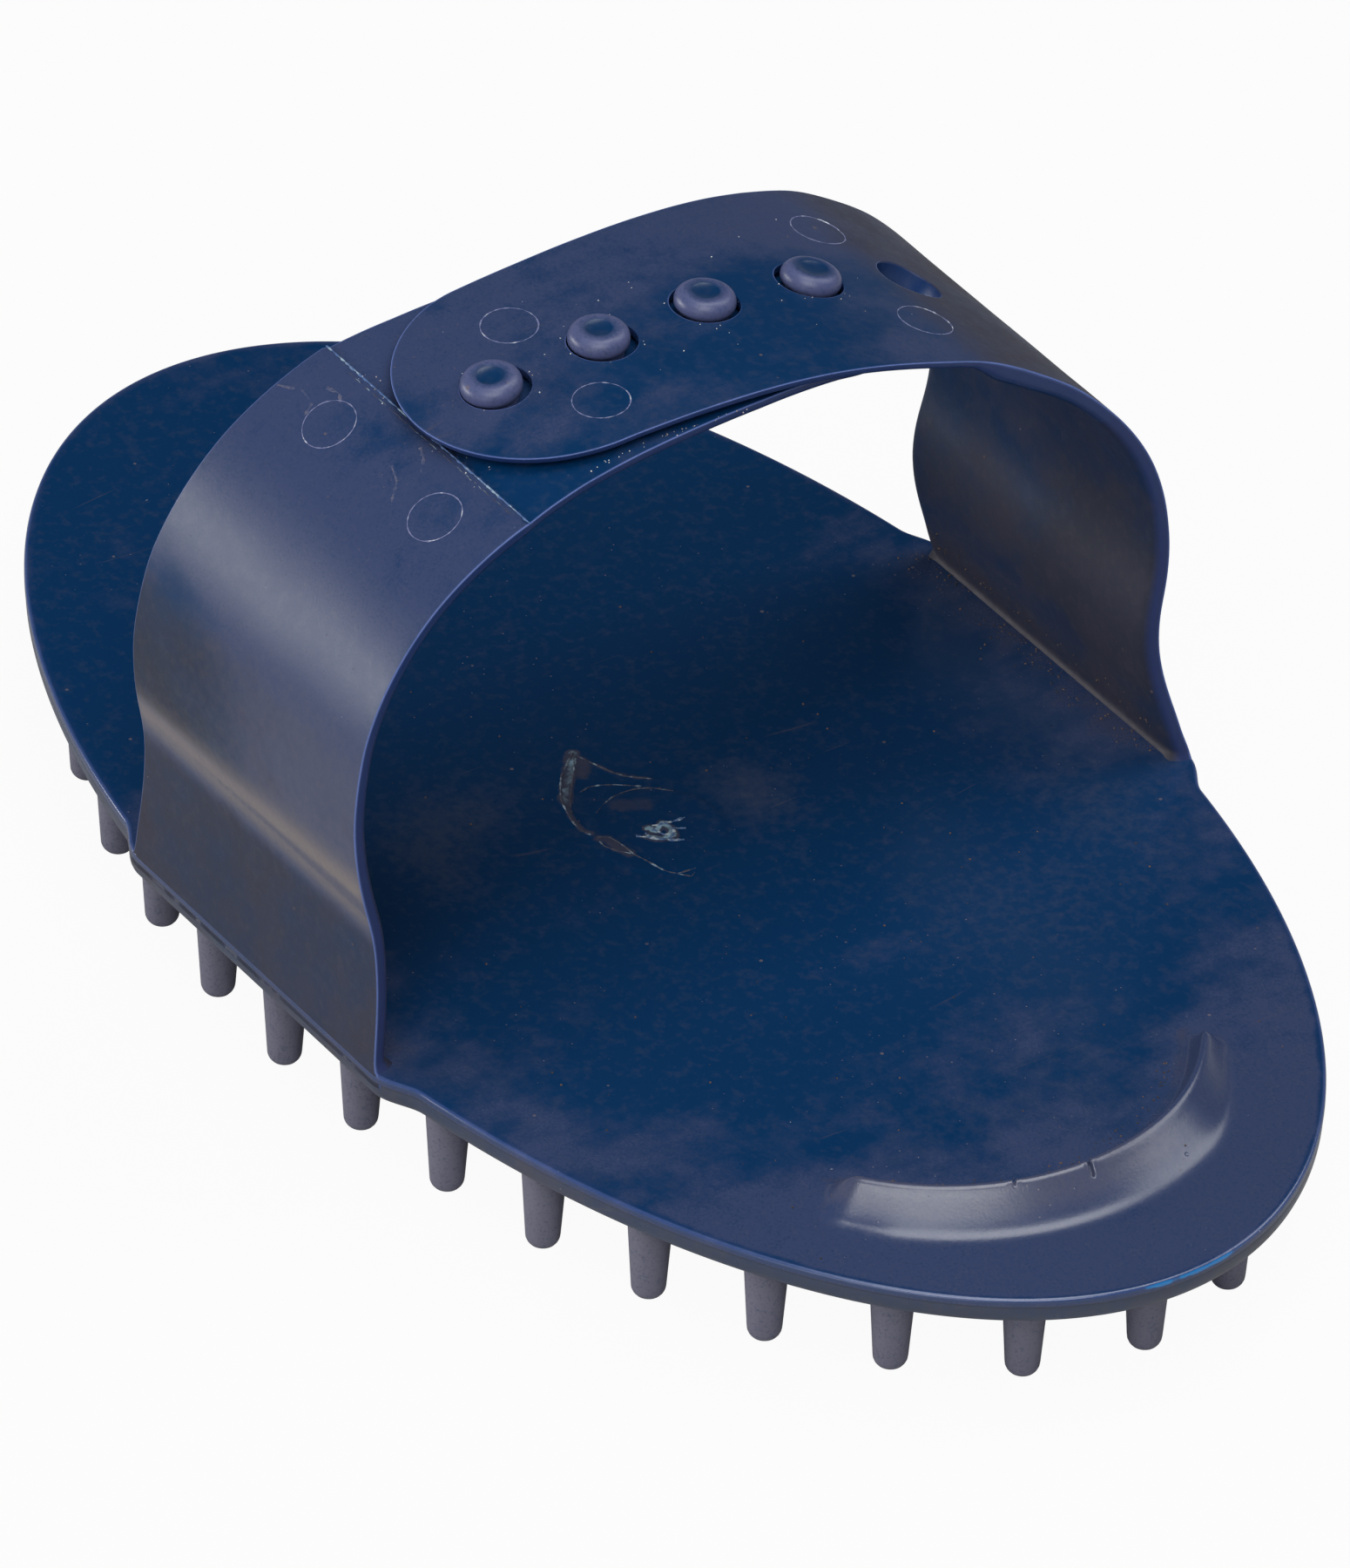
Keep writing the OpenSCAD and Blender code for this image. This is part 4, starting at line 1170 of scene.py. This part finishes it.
def sprinkle(name, points, finish=crumbMark, larger=1.0):
    return joinPieces([runTree(name, crumbNodes, crumbSockets, {
        "shape": grain, "small": crumbs["small"], "large": crumbs["large"] * larger, "seed": crumbs["seed"],
        "finish": finish}, points)], name)


def strapSpots(line, sign, flat, depth=-0.02):
    return placeStrap(line, level(flat, depth), sign)


luck = np.random.default_rng(crumbs["seed"])
grain = hiddenShape("grain", corner((0, 0), crumbs["round"], range(-90, 91, 45)), 8, crumbMark)
crumbNodes, crumbSockets = crumbTree()
grooveY = luck.uniform(-21, -2, 30)
groove = np.array([(holeHalf(np.array([holeLine.ofOut(y)]))[0] + luck.uniform(-0.1, 0.6), studLine.ofOut(-y))
                   for y in grooveY])
stepSide = np.stack([luck.uniform(-12, 12, 20), stepAt + luck.uniform(-1.2, 1.8, 20)], 1)
platformCrumbs = sprinkle("platformCrumbs", strapSpots(studLine, -1, np.concatenate([groove, stepSide])))
onTongue = []
for cx, cd in holePlaces[:4]:
    turn, out = luck.uniform(0, 2 * math.pi, 5), luck.uniform(3.7, 4.5, 5)
    onTongue.append(polar((cx, cd), out, turn))
onTongue.append(np.stack([luck.uniform(-13, 13, 26), luck.uniform(holeLine.ofOut(24), holeTip, 26)], 1))
tongueCrumbs = sprinkle("tongueCrumbs", strapSpots(holeLine, 1, np.concatenate(onTongue)))
byRoot = np.c_[luck.uniform(-21, 21, 150), 46.6 - np.abs(luck.normal(0, 1.7, 150))]
turn = np.radians(luck.uniform(-50, 50, 90))
outX, outY = (23.6 - np.abs(luck.normal(0, 0.8, 90)) for _ in range(2))
byRidge = np.c_[ridge["x"] + outX * np.cos(turn), outY * np.sin(turn)]
strewn = np.c_[luck.uniform(-30, 75, 130), luck.uniform(-36, 40, 130)]
rust = np.concatenate([byRoot, byRidge, strewn])
rust = np.c_[rust, padTop + padHigh(rust) + ridgeHeight(rust)[0] - 0.01]
onFoot = np.c_[luck.uniform(-20, 20, 60), 2.6 + np.abs(luck.normal(0, 1.6, 60))]
rootCrumbs = sprinkle("rootCrumbs", np.concatenate([rust, strapSpots(holeLine, 1, onFoot, 1.72)]),
                      rustMark, 1.6)
print("crumbs:", sum(len(p.data.polygons) for p in (platformCrumbs, tongueCrumbs, rootCrumbs)), "faces")


# some pieces go onto their bodies, the strap sheets stay baked in place, and the frame nodes they stand for
# are hidden

def dress(piece, slotName, *nodes):
    if nodes:
        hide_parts(*nodes)


def creaseSpan(line, sign, reach):
    low, high = line.at(line.crease - reach), line.at(line.crease + reach)
    return [(0, sign * p[0] * mm, (p[1] + padTop) * mm) for p in (low, high)]


for piece in (padPiece, pinPiece, gateEdges, gateTears, rootCrumbs):
    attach(piece, "pad_body")
dress(padPiece, "pad_pvc", "pad_plate", "finger_ridge", "gate_mark")
dress(pinPiece, "pin_pvc", "pins_outer_ring", "pins_second_ring", "pins_third_ring", "pins_fourth_ring",
      "pins_centre_row")
for piece in (gateEdges, gateTears, rootCrumbs):
    dress(piece, "pad_pvc")
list(creaseSpan(studLine, -1, 3.2))
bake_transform(studStrap)
dress(studStrap, "strap_pvc", "stud_strap_foot", "stud_strap_arm", "stud_platform")
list(creaseSpan(holeLine, 1, 3.4))
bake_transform(holeFoot)
dress(holeFoot, "strap_pvc", "hole_strap_foot", "hole_strap_arm")
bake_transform(tongue)
dress(tongue, "strap_pvc", "tongue")
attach(studPiece, "stud_strap")
dress(studPiece, "stud_pvc", "stud_1", "stud_2", "stud_3", "stud_4")
for piece in (tongueRings, tongueCrumbs):
    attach(piece, "tongue_flap")
    dress(piece, "strap_pvc")
for piece in (armRings, stepLine, stepFaint, wisps, platformCrumbs):
    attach(piece, "stud_strap")
    dress(piece, "strap_pvc")


# pale floor, soft lights and the camera

studio = {
    "floor": 0.54, "key": 3.2, "left": 9.4, "front": 3.1, "low": 1.8, "right": 2.2, "warm": (1.0, 0.97, 0.93),
    "plain": (1.0, 1.0, 1.0), "sky": 0.02, "horizon": 0.18,
}


def makeFloor():
    mesh = bpy.data.meshes.new("floor")
    reach = 6.0
    corners = [(-reach, -reach, 0), (reach, -reach, 0), (reach, reach, 0), (-reach, reach, 0)]
    mesh.from_pydata(corners, [], [(0, 1, 2, 3)])
    material, net = newMaterial("paleFloor")
    tone = studio["floor"]
    matt = net.make("ShaderNodeBsdfDiffuse", None, {"Color": rgb(tone, tone, tone)})
    glow = net.make("ShaderNodeEmission", None, {"Color": rgb(1, 1, 1), "Strength": 1.0})
    seen = net.make("ShaderNodeLightPath", out="Is Camera Ray")
    mirrored = net.make("ShaderNodeLightPath", out="Is Glossy Ray")
    through = net.make("ShaderNodeLightPath", out="Is Transmission Ray")
    share = (seen * 0.95 + mirrored * 0.05 + through * 0.95).clip()
    both = net.make("ShaderNodeMixShader", None, {0: share, 1: matt, 2: glow})
    net.make("ShaderNodeOutputMaterial", None, {"Surface": both})
    mesh.materials.append(material)
    floor = bpy.data.objects.new("floor", mesh)
    scene.collection.objects.link(floor)


def softbox(name, place, aim, size, strength, tint):
    lamp = bpy.data.lights.new(name, "AREA")
    lamp.shape = "RECTANGLE"
    lamp.size, lamp.size_y = size
    lamp.energy = strength * math.pi * size[0] * size[1]
    lamp.color = tint
    box = bpy.data.objects.new(name, lamp)
    scene.collection.objects.link(box)
    box.location = place
    box.rotation_euler = (Vector(aim) - Vector(place)).to_track_quat("-Z", "Y").to_euler()


def makeWorld():
    world = bpy.data.worlds.new("studio")
    scene.world = world
    world.use_nodes = True
    world.node_tree.nodes.clear()
    net = Net(world.node_tree)
    way = net.make("ShaderNodeSeparateXYZ", None, {0: net.make("ShaderNodeTexCoord", out="Generated")})
    up = Value(net, way.socket.node.outputs[2])
    low = 1 - up.rise(0.08, 0.36)
    strength = low * (studio["horizon"] - studio["sky"]) + studio["sky"]
    net.make("ShaderNodeOutputWorld", None, {"Surface": net.make("ShaderNodeBackground", None, {
        "Color": rgb(1, 1, 1), "Strength": strength})})


makeFloor()
makeWorld()
middle = (0, 0, 0.03)
softbox("key", (-0.02, 0.20, 1.14), middle, (0.50, 0.84), studio["key"], studio["plain"])
softbox("leftBox", (-0.74, -0.85, 0.20), (0, -0.03, 0.05), (0.70, 0.26), studio["left"], studio["warm"])
softbox("lowFill", (0.72, -1.18, 0.26), (0, 0, 0.05), (0.9, 0.40), studio["low"], studio["plain"])
softbox("frontFill", (0.62, -0.44, 1.02), middle, (1.0, 0.9), studio["front"], studio["plain"])
softbox("rightFill", (0.08, 0.95, 0.95), middle, (0.8, 0.5), studio["right"], studio["plain"])

view = {"azimuth": 54.46, "elevation": 36.77, "roll": 1.57, "distance": 1531.7, "focal": 17577.0,
        "centre": (759.7, 919.1), "frame": (1550, 1800)}


def makeCamera():
    az, el, roll = (math.radians(view[k]) for k in ("azimuth", "elevation", "roll"))
    back = Vector((math.sin(az) * math.cos(el), -math.cos(az) * math.cos(el), math.sin(el)))
    right = (-back).cross(Vector((0, 0, 1))).normalized()
    up = right.cross(-back)
    right, up = (right * math.cos(roll) + up * math.sin(roll)), (up * math.cos(roll) - right * math.sin(roll))
    offX = (view["frame"][0] / 2 - view["centre"][0]) / view["focal"]
    offY = (view["centre"][1] - view["frame"][1] / 2) / view["focal"]
    ahead = (-back + right * offX + up * offY).normalized()
    right = (right - ahead * right.dot(ahead)).normalized()
    up = right.cross(ahead)
    lens = bpy.data.cameras.new("camera")
    lens.sensor_fit = "AUTO"
    lens.sensor_width = 36.0
    lens.lens = view["focal"] * 36.0 / max(view["frame"])
    lens.clip_start, lens.clip_end = 0.05, 30.0
    camera = bpy.data.objects.new("camera", lens)
    scene.collection.objects.link(camera)
    turn = Matrix((right, up, -ahead)).transposed().to_4x4()
    spot = Vector((0, 0, padTop * mm)) + back * view["distance"] * mm
    camera.matrix_world = Matrix.Translation(spot) @ turn
    scene.camera = camera


makeCamera()
scene.view_settings.view_transform = "Standard"
print("stage and camera set")

bpy.context.view_layer.update()
